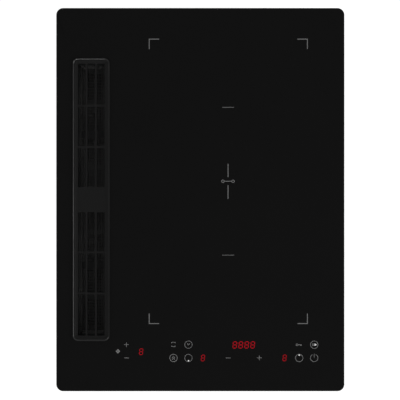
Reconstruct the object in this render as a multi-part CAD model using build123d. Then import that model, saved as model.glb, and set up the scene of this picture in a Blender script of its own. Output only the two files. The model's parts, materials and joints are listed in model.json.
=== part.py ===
from build123d import *
from math import cos, radians, sin
import os

# Downdraft induction cooktop with an extractor slot on its left side.
# Millimetres, +Z up, +X to the user's right, +Y to the rear edge.
# The origin is the centre of the glass plate, on the worktop plane: the underside of the seal.

# ---------------------------------------------------------------- driving dimensions

# Glass plate and the foam seal between it and the worktop
GLASS_W = 391.0
GLASS_D = 520.0
GLASS_T = 4.0
GLASS_R = 9.5
GLASS_BEVEL = 0.8
SEAL_T = 1.5
SEAL_W = 8.0
SEAL_INSET = 3.0

# Sheet-steel base pan, which hangs in the worktop cut-out
OVERHANG_X = 17.5
OVERHANG_Y = 17.0
PAN_DEPTH = 58.0
PAN_T = 1.0
PAN_R = 9.0
PAN_BEND = 3.0
PAN_RIM_GAP = 0.5
VENT_W = 5.0
VENT_L = 34.0
VENT_PITCH = 11.0
VENTS_UNDER_FAN = 6
VENTS_LEFT = 5
VENTS_REAR = 7
BEAD_W = 9.0
BEAD_H = 1.2
BEAD_L = 92.0
BEAD_PITCH = 22.0
BEADS = 3

# Angle frame bonded under the glass, which the pan is screwed to
FRAME_T = 1.2
FRAME_LEG = 16.0
FRAME_FLANGE = 9.0
PAN_SCREW_R = 2.0
PAN_SCREW_DROP = 9.0
PAN_SCREW_COUNT_LONG = 4
PAN_SCREW_COUNT_SHORT = 2

# Intake grille
GRILLE_W = 50.6
GRILLE_L = 384.0
GRILLE_R = 7.5
GRILLE_MARGIN = 22.1
GRILLE_LAP = 2.0
GRILLE_LIP_H = 1.0
GRILLE_LIP_W = 1.1
GRILLE_BORDER = 7.2
GRILLE_END = 10.2
GRILLE_DISH = 2.6
GRILLE_BAR_W = 2.4
GRILLE_BAR_H = 8.0
GRILLE_CROSS_W = 2.6
GRILLE_PANEL_L = 33.8
GRILLE_SKIRT_T = 2.2
GRILLE_SKIRT_H = 15.5
GRILLE_PAD_T = 0.5
PAD_MARGIN = 0.4
PAD_L = 14.4
PAD_PITCH = 83.5
PADS_EACH_SIDE = 4
SLOT_R = 1.2
SLOT_COLUMNS = 3
SLOT_ROWS = 3

# Intake well: a collar inside the pan and a trough below it
COLLAR_STEP = 1.0
WELL_WALL = 2.0
GASKET_LAND = 3.5
LEDGE_W = 2.8
LEDGE_DEPTH = 18.0
FOOT_W = 5.0
WELL_R = 5.0
TROUGH_H = 70.0
SLOT_CLEAR = 1.0
GASKET_T = 2.0
WINDOW_H = 20.0
WINDOW_COUNT = 5
MULLION_W = 6.0
WINDOW_DROP = 7.0
TRAY_RIB_H = 1.5
RIB_T = 2.0
RIB_PITCH = 62.0
TRAY_RIBS = 4
OUTER_RIB_H = 24.0

# Grease filter cassette
FILTER_CLEAR = 0.5
FILTER_T = 1.5
FILTER_INNER_R = 1.0
FILTER_H = 40.0
FILTER_WINDOWS = 8
FILTER_POST_W = 7.0
FILTER_RAIL_H = 6.0
MESH_T = 2.4
HANDLE_W = 10.0
HANDLE_T = 1.5
HANDLE_DROP = 5.0
HANDLE_DISTANCE = 180.0

# Drip tray
TRAY_CLEAR = 1.5
TRAY_H = 28.0
TRAY_T = 1.5
TRAY_DRAFT = 1.5
BAFFLE_DISTANCE = 120.0
BAFFLE_H = 20.0
FINGER_R = 7.0

# Air chamber, bell mouth and scroll of the blower
BLOWER_WALL = 2.5
BLOWER_SIDE_GAP = 10.0
BLOWER_FROM_REAR = 283.0
CHAMBER_H = 28.5
CHAMBER_LAND = 5.0
BELL_R = 14.0
THROAT_R = 60.0
CHAMBER_MARGIN = 18.0
CHAMBER_EAR_ANGLES = (-78, -32, 14, 57)
WINDOW_WALL_T = 2.0
EAR_R = 6.0
SCREW_R = 2.0
SCREW_HEAD_R = 3.8
SCREW_HEAD_T = 2.2
SCREW_HEAD_GAP = 0.4
SCROLL_GAP = 20.0
SCROLL_STEP = 16.0
TONGUE_STEP = 12.0
TONGUE_ANGLE = 50.0
TONGUE_R = 6.0
SCROLL_RIB_H = 4.0
SCROLL_EAR_ANGLES = ((115, 150), (210, 250), (295, 335))
MOUTH_R = 1.0

# Impeller, its shaft and the motor inside its hub
IMPELLER_R = 80.0
BLADE_CHORD = 14.0
IMPELLER_H = 70.0
IMPELLER_BELL_LAP = 5.5
IMPELLER_PLATE_T = 2.0
BLADES = 36
BLADE_T = 1.3
BLADE_LEAD = 9.0
BLADE_EARLY_LEAD = 1.8
HUB_DRAFT = 5.0
HUB_R = 50.0
HUB_TOP_R = 46.0
HUB_WALL = 2.5
HUB_H = 52.0
HUB_BOSS_R = 9.0
HUB_RUN_GAP = 1.5
HUB_SPOKES = 8
HUB_SLOT_L = 21.0
SHAFT_R = 3.95
SHAFT_FIT = 0.05
MOTOR_R = 41.0
MOTOR_TAIL = 14.0
MOTOR_BORE_GAP = 1.0
MOTOR_SLOTS = 16
MOTOR_SLOT_L = 16.4
MOTOR_SLOT_W = 3.5
MOTOR_SLOT_R = 25.4
MOTOR_HEAD_GAP = 6.0
MOTOR_EAR_PCD = 116.0
MOTOR_EARS = 3
MOTOR_FIRST_EAR = 90.0
MOTOR_FLANGE_T = 2.5
BEARING_R = 11.0
BEARING_T = 7.0
GROMMET_R = 7.0
GROMMET_GAP = 2.0
MOTOR_HOLE_GAP = 3.0

# Outlet spigot for flat duct, and its non-return flap
SPIGOT_W = 222.0
SPIGOT_H = 89.0
SPIGOT_WALL = 2.0
SPIGOT_R = 8.0
SPIGOT_L = 93.0
SPIGOT_FLANGE = 6.0
SPIGOT_FLANGE_T = 3.0
SPIGOT_STOP_H = 1.6
SPIGOT_STOP_W = 3.0
THROAT_L = 22.0
TAPER_L = 38.0
MOUTH_W = 149.0
FLAP_T = 1.6
FLAP_CLEAR = 1.5
FLAP_KNUCKLE_R = 3.0
FLAP_HINGE_INSET = 13.0
FLAP_HINGE_DROP = 4.0
FLAP_AXLE_R = 1.8
FLAP_SEAT = 3.5
FLAP_SEAT_T = 2.0
FLAP_SEAT_GAP = 0.3
FLAP_RIBS = 5

# Coils, measured from the printed cooking-zone marks
ZONE_MARGIN_LEFT = 52.9
ZONE_MARGIN_RIGHT = 49.7
ZONE_MARGIN_REAR = 41.7
ZONE_MARGIN_FRONT = 91.3
COIL_INSET_X = 5.35
COIL_INSET_Y = 2.25
COIL_GAP = 18.5
COIL_T = 6.0
COIL_EYE_W = 66.0
COIL_EYE_D = 48.0
COIL_EYE_R = 20.0
COIL_R = 55.0
COIL_GROOVES = 5
COIL_GROOVE_W = 1.2
COIL_GROOVE_H = 1.5
MICA_T = 0.8
FORMER_T = 3.0
FORMER_RIM = 3.0
FERRITE_T = 4.0
FERRITE_W = 12.0
FERRITE_L = 40.0
FERRITES = 8
COIL_PLATE_T = 1.5
COIL_PLATE_MARGIN = 10.0
COIL_PLATE_FOLD = 8.0
SENSOR_R = 5.0
SENSOR_CLEAR = 1.0
SPRING_R = 5.0
SPRING_T = 1.2
SPRING_FOLD_GAP = 1.1
SPRING_ROWS = 3

# Electronics in the pan
BOARD_T = 1.6
STANDOFF_H = 5.5
STANDOFF_R = 3.5
BOARD_EDGE_GAP = 17.5
BOARD_L = 230.0
BOARD_INSET = 6.0
BOARD_R = 2.0
SINK_W = 62.0
SINK_L = 130.0
SINK_BASE = 4.0
SINK_H = 22.0
SINK_FINS = 9
SINK_FIN_T = 1.8
CAPACITOR_R = 11.0
CAPACITOR_H = 26.0
CAPACITOR_PITCH = 27.5
CAPACITORS = 4
CHOKE_R = 17.0
CHOKE_HOLE_R = 7.0
CHOKE_H = 16.0
RELAY_W = 16.0
RELAY_L = 28.0
RELAY_H = 15.0
RELAY_PITCH = 25.6
RELAY_R = 1.0
FAN_SIZE = 80.0
FAN_T = 25.0
FAN_CORNER_R = 5.0
FAN_BORE_R = 38.0
FAN_TIP_GAP = 1.5
FAN_HUB_R = 15.0
FAN_BLADES = 7
FAN_BLADE_T = 1.4
FAN_BLADE_CHORD = 19.0
FAN_BLADE_ANGLE = 38.0
FAN_BLADE_ROOT = 1.0
FAN_RUN_GAP = 1.0
FAN_ARM_W = 5.0
FAN_ARM_T = 3.0
FAN_AXLE_R = 1.5
FAN_FOOT_H = 4.0
FAN_SIDE_GAP = 20.0
FAN_FRONT_GAP = 24.0

# Touch control behind the front edge of the glass
TOUCH_D = 40.0
TOUCH_FROM_FRONT = 54.0
TOUCH_LEFT = 10.0
TOUCH_RIGHT = 33.5
TOUCH_DROP = 6.5
TOUCH_ROW = 9.0
CARRIER_T = 1.6
CARRIER_H = 5.0
KEY_PAD_R = 4.0
DIGIT_W = 10.0
DIGIT_L = 14.0
CLOCK_W = 36.0

# Keys and digits along the touch board, from its left end, its middle and its right end
FAN_KEY_PLACE = 19.0
FAN_DIGIT_PLACE = 39.0
REAR_KEYS_MIDDLE = (-57.85, -37.45)
REAR_KEYS_RIGHT = (27.9, 7.5)
FRONT_KEYS_MIDDLE = (-57.75, -37.45, 16.35, 58.65)
FRONT_KEYS_RIGHT = (27.9, 7.6)
ZONE_DIGIT_MIDDLE = -17.85
ZONE_DIGIT_RIGHT = 47.7
CLOCK_PLACE = 37.55

# Leaf-spring clips that grip the worktop cut-out
CLIP_W = 22.0
CLIP_T = 0.8
CLIP_BULGE = 6.0
CLIP_TOP = 8.0
CLIP_LENGTH = 40.0
CLIP_STRAIGHT = 10.0
CLIP_BULGE_DROP = 22.0
CLIP_TOE_DROP = 36.0
CLIP_TOE_OUT = 2.0
CLIP_BENDS = (4.0, 6.0, 1.5)
CLIP_FROM_END = 93.0

# Terminal box under the pan
TERMINAL_L = 66.0
TERMINAL_H = 32.0
TERMINAL_WALL = 2.0
TERMINAL_FROM_REAR = 13.0
TERMINAL_SIDE_GAP = 5.5
TERMINAL_HINGE_CLEAR = 5.0
TERMINAL_WAYS = 4
TERMINAL_BLOCK_SHARE = 0.7
COVER_T = 2.0
COVER_KNUCKLE_R = 2.6
COVER_HINGE_GAP = 3.2
COVER_PIN_R = 1.5
COVER_FIT = 0.05
COVER_END_GAP = 0.4
EAR_W = 4.0
GLAND_R = 8.0
GLAND_BORE_R = 5.0
GLAND_HEX = 20.0
GLAND_THREAD_L = 5.0
GLAND_NUT_L = 4.0
GLAND_HEAD_L = 5.0
GLAND_DOME_L = 4.0
LEAD_HOLE_R = 7.0

# What every piece shares: the least corner, and how far a cutter runs past a face
LEAST_R = 0.6
PAST = 1.0

# ---------------------------------------------------------------- derived sizes and places

GLASS_UNDER = SEAL_T
GLASS_TOP = GLASS_UNDER + GLASS_T
PAN_W = GLASS_W - 2 * OVERHANG_X
PAN_D = GLASS_D - 2 * OVERHANG_Y
PAN_UNDER = -PAN_DEPTH
PAN_FLOOR = PAN_UNDER + PAN_T
PAN_RIM = GLASS_UNDER - PAN_RIM_GAP

OPENING_W = GRILLE_W - 2 * GRILLE_LAP
OPENING_L = GRILLE_L - 2 * GRILLE_LAP
OPENING_R = GRILLE_R - GRILLE_LAP
WELL_X = GRILLE_MARGIN + GRILLE_W / 2 - GLASS_W / 2
COLLAR_BORE_W = OPENING_W - 2 * COLLAR_STEP
COLLAR_BORE_L = OPENING_L - 2 * COLLAR_STEP
COLLAR_BORE_R = OPENING_R - COLLAR_STEP
COLLAR_FLANGE_W = OPENING_W + 2 * GASKET_LAND
COLLAR_FLANGE_L = OPENING_L + 2 * GASKET_LAND
TROUGH_BORE_W = COLLAR_BORE_W - 2 * LEDGE_W
TROUGH_BORE_L = COLLAR_BORE_L - 2 * LEDGE_W
TROUGH_W = TROUGH_BORE_W + 2 * WELL_WALL
TROUGH_L = TROUGH_BORE_L + 2 * WELL_WALL
TROUGH_TOP = PAN_UNDER
TROUGH_UNDER = TROUGH_TOP - TROUGH_H
TROUGH_FLOOR = TROUGH_UNDER + WELL_WALL
TROUGH_SIDE = WELL_X + TROUGH_W / 2
WINDOW_TOP = TROUGH_TOP - WINDOW_DROP
WINDOW_UNDER = WINDOW_TOP - WINDOW_H

TERMINAL_REAR = PAN_D / 2 - TERMINAL_FROM_REAR
TERMINAL_FRONT = TERMINAL_REAR - TERMINAL_L
TERMINAL_Y = TERMINAL_REAR - TERMINAL_L / 2
TERMINAL_UNDER = PAN_UNDER - TERMINAL_H
TERMINAL_CEILING = PAN_UNDER - TERMINAL_WALL
COVER_AXIS_Y = TERMINAL_FRONT - COVER_HINGE_GAP
COVER_AXIS_Z = TERMINAL_UNDER - COVER_T / 2

# The row of windows ends where the chamber's last ears clear the terminal cover's hinge
EAR_REACH = BLOWER_WALL + SCREW_HEAD_R + SCREW_HEAD_GAP
EARS_END = COVER_AXIS_Y - COVER_KNUCKLE_R - TERMINAL_HINGE_CLEAR
WINDOW_L = 2 * (EARS_END - EAR_R - EAR_REACH - BLOWER_WALL)
WINDOW_STEP = WINDOW_L / WINDOW_COUNT
WINDOW_EACH = WINDOW_STEP - MULLION_W

CHAMBER_TOP = PAN_UNDER - GASKET_T
CHAMBER_UNDER = CHAMBER_TOP - CHAMBER_H
CHAMBER_FLOOR = CHAMBER_UNDER + BLOWER_WALL
CHAMBER_LEFT = TROUGH_SIDE + GASKET_T
CHAMBER_R = THROAT_R + BELL_R + CHAMBER_MARGIN
SCROLL_R1 = IMPELLER_R + SCROLL_GAP
SCROLL_R2 = SCROLL_R1 + SCROLL_STEP
SCROLL_R3 = SCROLL_R2 + SCROLL_STEP
SCROLL_R0 = SCROLL_R1 - TONGUE_STEP
SCROLL_INNER_H = SPIGOT_H - 2 * SPIGOT_WALL
SCROLL_FLOOR = CHAMBER_UNDER - SCROLL_INNER_H
SCROLL_UNDER = SCROLL_FLOOR - BLOWER_WALL
FAN_X = PAN_W / 2 - BLOWER_SIDE_GAP - BLOWER_WALL - SCROLL_R3 - SCROLL_STEP / 2
FAN_Y = PAN_D / 2 - BLOWER_FROM_REAR
MOUTH_RIGHT = FAN_X + SCROLL_STEP / 2 + SCROLL_R3
MOUTH_Y = PAN_D / 2 - SPIGOT_L
MOUTH_X = MOUTH_RIGHT - MOUTH_W / 2
MOUTH_Z = (SCROLL_FLOOR + CHAMBER_UNDER) / 2
EYE_R = IMPELLER_R - BLADE_CHORD
IMPELLER_TOP = CHAMBER_FLOOR - BELL_R + IMPELLER_BELL_LAP
IMPELLER_UNDER = IMPELLER_TOP - IMPELLER_H
MOTOR_TOP = IMPELLER_UNDER + HUB_H - HUB_WALL - MOTOR_HEAD_GAP
MOTOR_UNDER = SCROLL_UNDER - MOTOR_TAIL
MOTOR_FLANGE_TOP = SCROLL_UNDER - GROMMET_GAP
MOTOR_FLANGE_UNDER = MOTOR_FLANGE_TOP - MOTOR_FLANGE_T

SPIGOT_START = MOUTH_Y + SEAL_T
SPIGOT_END = MOUTH_Y + SPIGOT_L
SPIGOT_X = MOUTH_RIGHT + SPIGOT_WALL - SPIGOT_W / 2
THROAT_END = SPIGOT_START + THROAT_L
TAPER_END = THROAT_END + TAPER_L
FLAP_Y = SPIGOT_START + FLAP_HINGE_INSET
FLAP_Z = CHAMBER_UNDER - FLAP_HINGE_DROP

ZONE_LEFT = WELL_X + GRILLE_W / 2 + ZONE_MARGIN_LEFT
ZONE_RIGHT = GLASS_W / 2 - ZONE_MARGIN_RIGHT
ZONE_REAR = GLASS_D / 2 - ZONE_MARGIN_REAR
ZONE_FRONT = ZONE_MARGIN_FRONT - GLASS_D / 2
ZONE_X = (ZONE_LEFT + ZONE_RIGHT) / 2
ZONE_Y = (ZONE_FRONT + ZONE_REAR) / 2
COIL_W = ZONE_RIGHT - ZONE_LEFT - 2 * COIL_INSET_X
COIL_D = (ZONE_REAR - ZONE_FRONT - COIL_GAP) / 2 - COIL_INSET_Y
COIL_STEP = (COIL_D + COIL_GAP) / 2
COIL_TOP = GLASS_UNDER - MICA_T
COIL_UNDER = COIL_TOP - COIL_T
FORMER_UNDER = COIL_UNDER - FORMER_T
FERRITE_UNDER = FORMER_UNDER - FERRITE_T
COIL_PLATE_UNDER = FERRITE_UNDER - COIL_PLATE_T
COIL_PLATE_W = COIL_W + 2 * COIL_PLATE_MARGIN
COIL_PLATE_D = 2 * COIL_D + COIL_GAP + COIL_PLATE_MARGIN

BOARD_UNDER = PAN_FLOOR + STANDOFF_H
BOARD_TOP = BOARD_UNDER + BOARD_T
BOARD_W = COIL_PLATE_W - 2 * BOARD_EDGE_GAP
COOLER_X = PAN_W / 2 - FAN_SIDE_GAP - FAN_SIZE / 2
COOLER_Y = FAN_FRONT_GAP + FAN_SIZE / 2 - PAN_D / 2
COOLER_UNDER = PAN_FLOOR + FAN_FOOT_H
COOLER_TOP = COOLER_UNDER + FAN_T

TOUCH_Y = TOUCH_FROM_FRONT - GLASS_D / 2
TOUCH_X0 = WELL_X + COLLAR_FLANGE_W / 2 + TOUCH_LEFT - SEAL_W
TOUCH_X1 = GLASS_W / 2 - TOUCH_RIGHT
TOUCH_W = TOUCH_X1 - TOUCH_X0
TOUCH_X = (TOUCH_X0 + TOUCH_X1) / 2
TOUCH_TOP = GLASS_UNDER - TOUCH_DROP
TOUCH_UNDER = TOUCH_TOP - BOARD_T

# The terminal box fills the room between the trough's foot and the spigot
TERMINAL_LEFT = TROUGH_SIDE + FOOT_W + TERMINAL_SIDE_GAP
TERMINAL_RIGHT = SPIGOT_X - SPIGOT_W / 2 - TERMINAL_SIDE_GAP
TERMINAL_W = TERMINAL_RIGHT - TERMINAL_LEFT
TERMINAL_X = (TERMINAL_LEFT + TERMINAL_RIGHT) / 2
COVER_KNUCKLE_W = TERMINAL_W / 2
GLAND_Z = (TERMINAL_UNDER + PAN_UNDER) / 2

# ---------------------------------------------------------------- helpers


def slab(width, depth, low, high, corner=0.0, x=0.0, y=0.0):
    """A plate with upright sides and rounded corners, between two heights."""
    outline = RectangleRounded(width, depth, corner) if corner else Rectangle(width, depth)
    return Pos(x, y, low) * extrude(outline, high - low)


def rim(width, depth, band, low, high, corner, x=0.0, y=0.0):
    """A ring of even width with rounded corners."""
    inner_corner = max(corner - band, LEAST_R)
    inner = slab(width - 2 * band, depth - 2 * band, low - PAST, high + PAST, inner_corner, x, y)
    return slab(width, depth, low, high, corner, x, y) - inner


def rod(radius, low, high, x=0.0, y=0.0):
    """An upright cylinder between two heights."""
    return Pos(x, y, low) * extrude(Circle(radius), high - low)


def hole(radius, low, high, x=0.0, y=0.0):
    """An upright cutter that runs past both heights."""
    return rod(radius, low - PAST, high + PAST, x, y)


def tube(radius, bore, low, high, x=0.0, y=0.0):
    """An upright tube between two heights."""
    return Pos(x, y, low) * extrude(Circle(radius) - Circle(bore), high - low)


def rod_along_x(radius, start, end, y, z):
    """A cylinder along X."""
    return Pos(start, y, z) * extrude(Plane.YZ * Circle(radius), end - start)


def rear_plane(x, y, z):
    """A sketch plane that faces the rear, with its own X along +X."""
    return Plane(origin=(x, y, z), x_dir=(1, 0, 0), z_dir=(0, 1, 0))


def duct(width, height, corner, start, end, x, z):
    """A straight rounded-rectangle solid along +Y."""
    return extrude(rear_plane(x, start, z) * RectangleRounded(width, height, corner), end - start)


def spread(count, pitch):
    """Places of a centred row."""
    return [(i - (count - 1) / 2) * pitch for i in range(count)]


def on_circle(count, radius, x, y, start=0.0):
    """Places on a circle."""
    angles = [radians(start + i * 360 / count) for i in range(count)]
    return [(x + radius * cos(a), y + radius * sin(a)) for a in angles]


def group(shapes):
    """Separate solids that share one node."""
    return Compound(children=list(shapes))


def pan_head_screw(x, y, seat, length, up=True):
    """A screw whose head bears on the given height from below, or from above."""
    sign = 1 if up else -1
    low, high = sorted((seat, seat + sign * length))
    head_low, head_high = sorted((seat, seat - sign * SCREW_HEAD_T))
    return rod(SCREW_R, low, high, x, y) + rod(SCREW_HEAD_R, head_low, head_high, x, y)


# ---------------------------------------------------------------- glass, seal, frame and pan


def glass_top():
    plate = slab(GLASS_W, GLASS_D, GLASS_UNDER, GLASS_TOP, GLASS_R)
    plate = chamfer(plate.faces().sort_by(Axis.Z)[-1].edges(), GLASS_BEVEL)
    return plate - slab(OPENING_W, OPENING_L, GLASS_UNDER - PAST, GLASS_TOP + PAST, OPENING_R, WELL_X)


def worktop_seal():
    width = GLASS_W - 2 * SEAL_INSET
    depth = GLASS_D - 2 * SEAL_INSET
    return rim(width, depth, SEAL_W, 0, SEAL_T, GLASS_R - SEAL_INSET)


def side_screw_places():
    """Screw axes on the long sides (side, y) and on the short sides (x, end)."""
    long_places = spread(PAN_SCREW_COUNT_LONG, PAN_D / PAN_SCREW_COUNT_LONG)
    short_places = spread(PAN_SCREW_COUNT_SHORT, PAN_W / PAN_SCREW_COUNT_SHORT)
    long_side = [(side, y) for side in (-1, 1) for y in long_places]
    short_side = [(x, end) for end in (-1, 1) for x in short_places]
    return long_side, short_side


def side_pins(radius, depth_in, depth_out):
    """Cylinders through the pan wall and the frame leg at each screw."""
    z = GLASS_UNDER - PAN_SCREW_DROP
    long_side, short_side = side_screw_places()
    pins = []
    for side, y in long_side:
        ends = sorted((side * (PAN_W / 2 - depth_in), side * (PAN_W / 2 + depth_out)))
        pins.append(rod_along_x(radius, ends[0], ends[1], y, z))
    for x, end in short_side:
        ends = sorted((end * (PAN_D / 2 - depth_in), end * (PAN_D / 2 + depth_out)))
        pins.append(extrude(rear_plane(x, ends[0], z) * Circle(radius), ends[1] - ends[0]))
    return pins


def carrier_frame():
    """Angle frame: a leg inside the pan and a flange under the glass, cut away round the collar."""
    width = PAN_W - 2 * PAN_T
    depth = PAN_D - 2 * PAN_T
    corner = PAN_R - PAN_T
    leg = rim(width, depth, FRAME_T, GLASS_UNDER - FRAME_LEG, GLASS_UNDER, corner)
    flange = rim(width, depth, FRAME_FLANGE, GLASS_UNDER - FRAME_T, GLASS_UNDER, corner)
    low = GLASS_UNDER - FRAME_T - PAST
    high = GLASS_UNDER + PAST
    room_w = COLLAR_FLANGE_W + 2 * SLOT_CLEAR
    room_l = COLLAR_FLANGE_L + 2 * SLOT_CLEAR
    collar_room = slab(room_w, room_l, low, high, WELL_R, WELL_X)
    leg_only = rim(width, depth, FRAME_T, low, high, corner)
    frame = leg + (flange - (collar_room - leg_only))
    return frame - side_pins(PAN_SCREW_R, PAN_T + FRAME_T + PAST, PAST)


def pan_screws():
    shanks = side_pins(PAN_SCREW_R, PAN_T + FRAME_T + 2 * PAST, 0)
    z = GLASS_UNDER - PAN_SCREW_DROP
    long_side, short_side = side_screw_places()
    screws = []
    for (side, y), shank in zip(long_side, shanks):
        start, end = sorted((side * PAN_W / 2, side * (PAN_W / 2 + SCREW_HEAD_T)))
        screws.append(shank + rod_along_x(SCREW_HEAD_R, start, end, y, z))
    for (x, end), shank in zip(short_side, shanks[len(long_side):]):
        start, stop = sorted((end * PAN_D / 2, end * (PAN_D / 2 + SCREW_HEAD_T)))
        screws.append(shank + extrude(rear_plane(x, start, z) * Circle(SCREW_HEAD_R), stop - start))
    return group(screws)


def vent_row(count, x, y):
    """Slots through the pan floor, long in Y, side by side along X."""
    outline = SlotOverall(VENT_L, VENT_W, rotation=90)
    slots = [Pos(x + dx, y, PAN_UNDER - PAST) * outline for dx in spread(count, VENT_PITCH)]
    return [extrude(slot, PAN_T + 2 * PAST) for slot in slots]


def bead_places():
    """Stiffening beads in the pan floor, in front of the blower and behind it."""
    front_y = COOLER_Y
    rear_y = ZONE_REAR - VENT_L
    rows = [(ZONE_X - BEAD_L / 4, front_y + dy) for dy in spread(BEADS, BEAD_PITCH)]
    return rows + [(ZONE_X - BEAD_L / 4, rear_y + dy) for dy in spread(BEADS - 1, BEAD_PITCH)]


def bead(grow, low, x, y):
    """One rounded bead of the pan floor, from a given height up by its own height."""
    outline = SlotOverall(BEAD_L + 2 * grow, BEAD_W + 2 * grow)
    return Pos(x, y, low) * extrude(outline, BEAD_H)


def chamber_ears():
    """Screw places round the chamber's upper edge."""
    reach = CHAMBER_R + EAR_REACH
    angles = [radians(a) for a in CHAMBER_EAR_ANGLES]
    round_the_fan = [(FAN_X + reach * cos(a), FAN_Y + reach * sin(a)) for a in angles]
    strip_end = WINDOW_L / 2 + BLOWER_WALL + EAR_REACH
    beside_the_trough = [(CHAMBER_LEFT + 1.5 * EAR_R, end * strip_end) for end in (-1, 1)]
    return round_the_fan + beside_the_trough


def base_pan():
    """Drawn sheet pan with vents, stiffening beads and the slot that the well passes through."""
    shell = slab(PAN_W, PAN_D, PAN_UNDER, PAN_RIM, PAN_R)
    shell = fillet(shell.faces().sort_by(Axis.Z)[0].edges(), PAN_BEND)
    hollow = slab(PAN_W - 2 * PAN_T, PAN_D - 2 * PAN_T, PAN_FLOOR, PAN_RIM + PAST, PAN_R - PAN_T)
    hollow = fillet(hollow.faces().sort_by(Axis.Z)[0].edges(), PAN_BEND - PAN_T)
    pan = shell - hollow
    pan += [bead(0, PAN_FLOOR, x, y) for x, y in bead_places()]
    slot_w = TROUGH_BORE_W + 2 * SLOT_CLEAR
    slot_l = TROUGH_BORE_L + 2 * SLOT_CLEAR
    cuts = [slab(slot_w, slot_l, PAN_UNDER - PAST, PAN_FLOOR + PAST, WELL_R, WELL_X)]
    cuts += [bead(-PAN_T, PAN_UNDER, x, y) for x, y in bead_places()]
    for end in (-1, 1):
        cuts += vent_row(VENTS_UNDER_FAN, COOLER_X, COOLER_Y + end * (VENT_L + BLOWER_WALL) / 2)
    cuts += vent_row(VENTS_LEFT, ZONE_LEFT, COOLER_Y)
    cuts += vent_row(VENTS_REAR, ZONE_X + COIL_EYE_W, ZONE_REAR - VENT_L)
    cuts += side_pins(PAN_SCREW_R, PAN_T + FRAME_T + PAST, PAST)
    cuts += [hole(SCREW_R, PAN_UNDER, PAN_FLOOR, x, y) for x, y in chamber_ears()]
    cuts.append(hole(LEAD_HOLE_R, PAN_UNDER, PAN_FLOOR, TERMINAL_X, TERMINAL_Y))
    return pan - cuts


def well_gasket():
    corner = OPENING_R + GASKET_LAND
    return rim(COLLAR_FLANGE_W, COLLAR_FLANGE_L, GASKET_LAND, 0, GLASS_UNDER, corner, WELL_X)


# ---------------------------------------------------------------- intake well


def well_collar():
    """Moulded collar: flange under the glass, a ledge for the filter, a foot on the pan floor."""
    ledge = -LEDGE_DEPTH
    flange = slab(COLLAR_FLANGE_W, COLLAR_FLANGE_L, -WELL_WALL, 0, OPENING_R + GASKET_LAND, WELL_X)
    wide_w = COLLAR_BORE_W + 2 * WELL_WALL
    wide_l = COLLAR_BORE_L + 2 * WELL_WALL
    upper = slab(wide_w, wide_l, ledge - WELL_WALL, 0, COLLAR_BORE_R + WELL_WALL, WELL_X)
    lower = slab(TROUGH_W, TROUGH_L, PAN_FLOOR, ledge, WELL_R, WELL_X)
    foot_w = TROUGH_W + 2 * FOOT_W
    foot_l = TROUGH_L + 2 * FOOT_W
    foot = slab(foot_w, foot_l, PAN_FLOOR, PAN_FLOOR + WELL_WALL, WELL_R, WELL_X)
    body = flange + upper + lower + foot
    for y in trough_rib_places():
        body += slab(foot_w, RIB_T, PAN_FLOOR, ledge, 0, WELL_X, y)
    bore_r = WELL_R - WELL_WALL
    wide_bore = slab(COLLAR_BORE_W, COLLAR_BORE_L, ledge, PAST, COLLAR_BORE_R, WELL_X)
    low_bore = slab(TROUGH_BORE_W, TROUGH_BORE_L, PAN_FLOOR - PAST, ledge + PAST, bore_r, WELL_X)
    return body - wide_bore - low_bore


def window_places():
    return spread(WINDOW_COUNT, WINDOW_STEP)


def trough_rib_places():
    return spread(int(TROUGH_L / RIB_PITCH) + 1, RIB_PITCH)


def window_cuts(reach, x):
    """Cutters for the row of air windows, through whatever stands at the given x."""
    return [slab(reach, WINDOW_EACH, WINDOW_UNDER, WINDOW_TOP, 0, x, y) for y in window_places()]


def well_trough():
    """Moulded trough below the pan, open to the air chamber through a row of windows."""
    body = slab(TROUGH_W, TROUGH_L, TROUGH_UNDER, TROUGH_TOP, WELL_R, WELL_X)
    body = fillet(body.faces().sort_by(Axis.Z)[0].edges(), WELL_WALL)
    foot_w = TROUGH_W + 2 * FOOT_W
    foot_l = TROUGH_L + 2 * FOOT_W
    body += slab(foot_w, foot_l, TROUGH_TOP - WELL_WALL, TROUGH_TOP, WELL_R, WELL_X)
    bore_r = WELL_R - WELL_WALL
    body -= slab(TROUGH_BORE_W, TROUGH_BORE_L, TROUGH_FLOOR, TROUGH_TOP + PAST, bore_r, WELL_X)
    body -= window_cuts(4 * WELL_WALL, TROUGH_SIDE)
    rib_w = TROUGH_BORE_W + WELL_WALL
    rib_top = TROUGH_FLOOR + TRAY_RIB_H
    for y in spread(TRAY_RIBS, TROUGH_BORE_L / TRAY_RIBS):
        body += slab(rib_w, RIB_T, TROUGH_FLOOR - WELL_WALL / 2, rib_top, 0, WELL_X, y)
    outer_rib_x = WELL_X - (TROUGH_W + FOOT_W) / 2 + WELL_WALL / 2
    for y in trough_rib_places():
        body += slab(FOOT_W, RIB_T, TROUGH_TOP - OUTER_RIB_H, TROUGH_TOP, 0, outer_rib_x, y)
    return body


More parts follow.
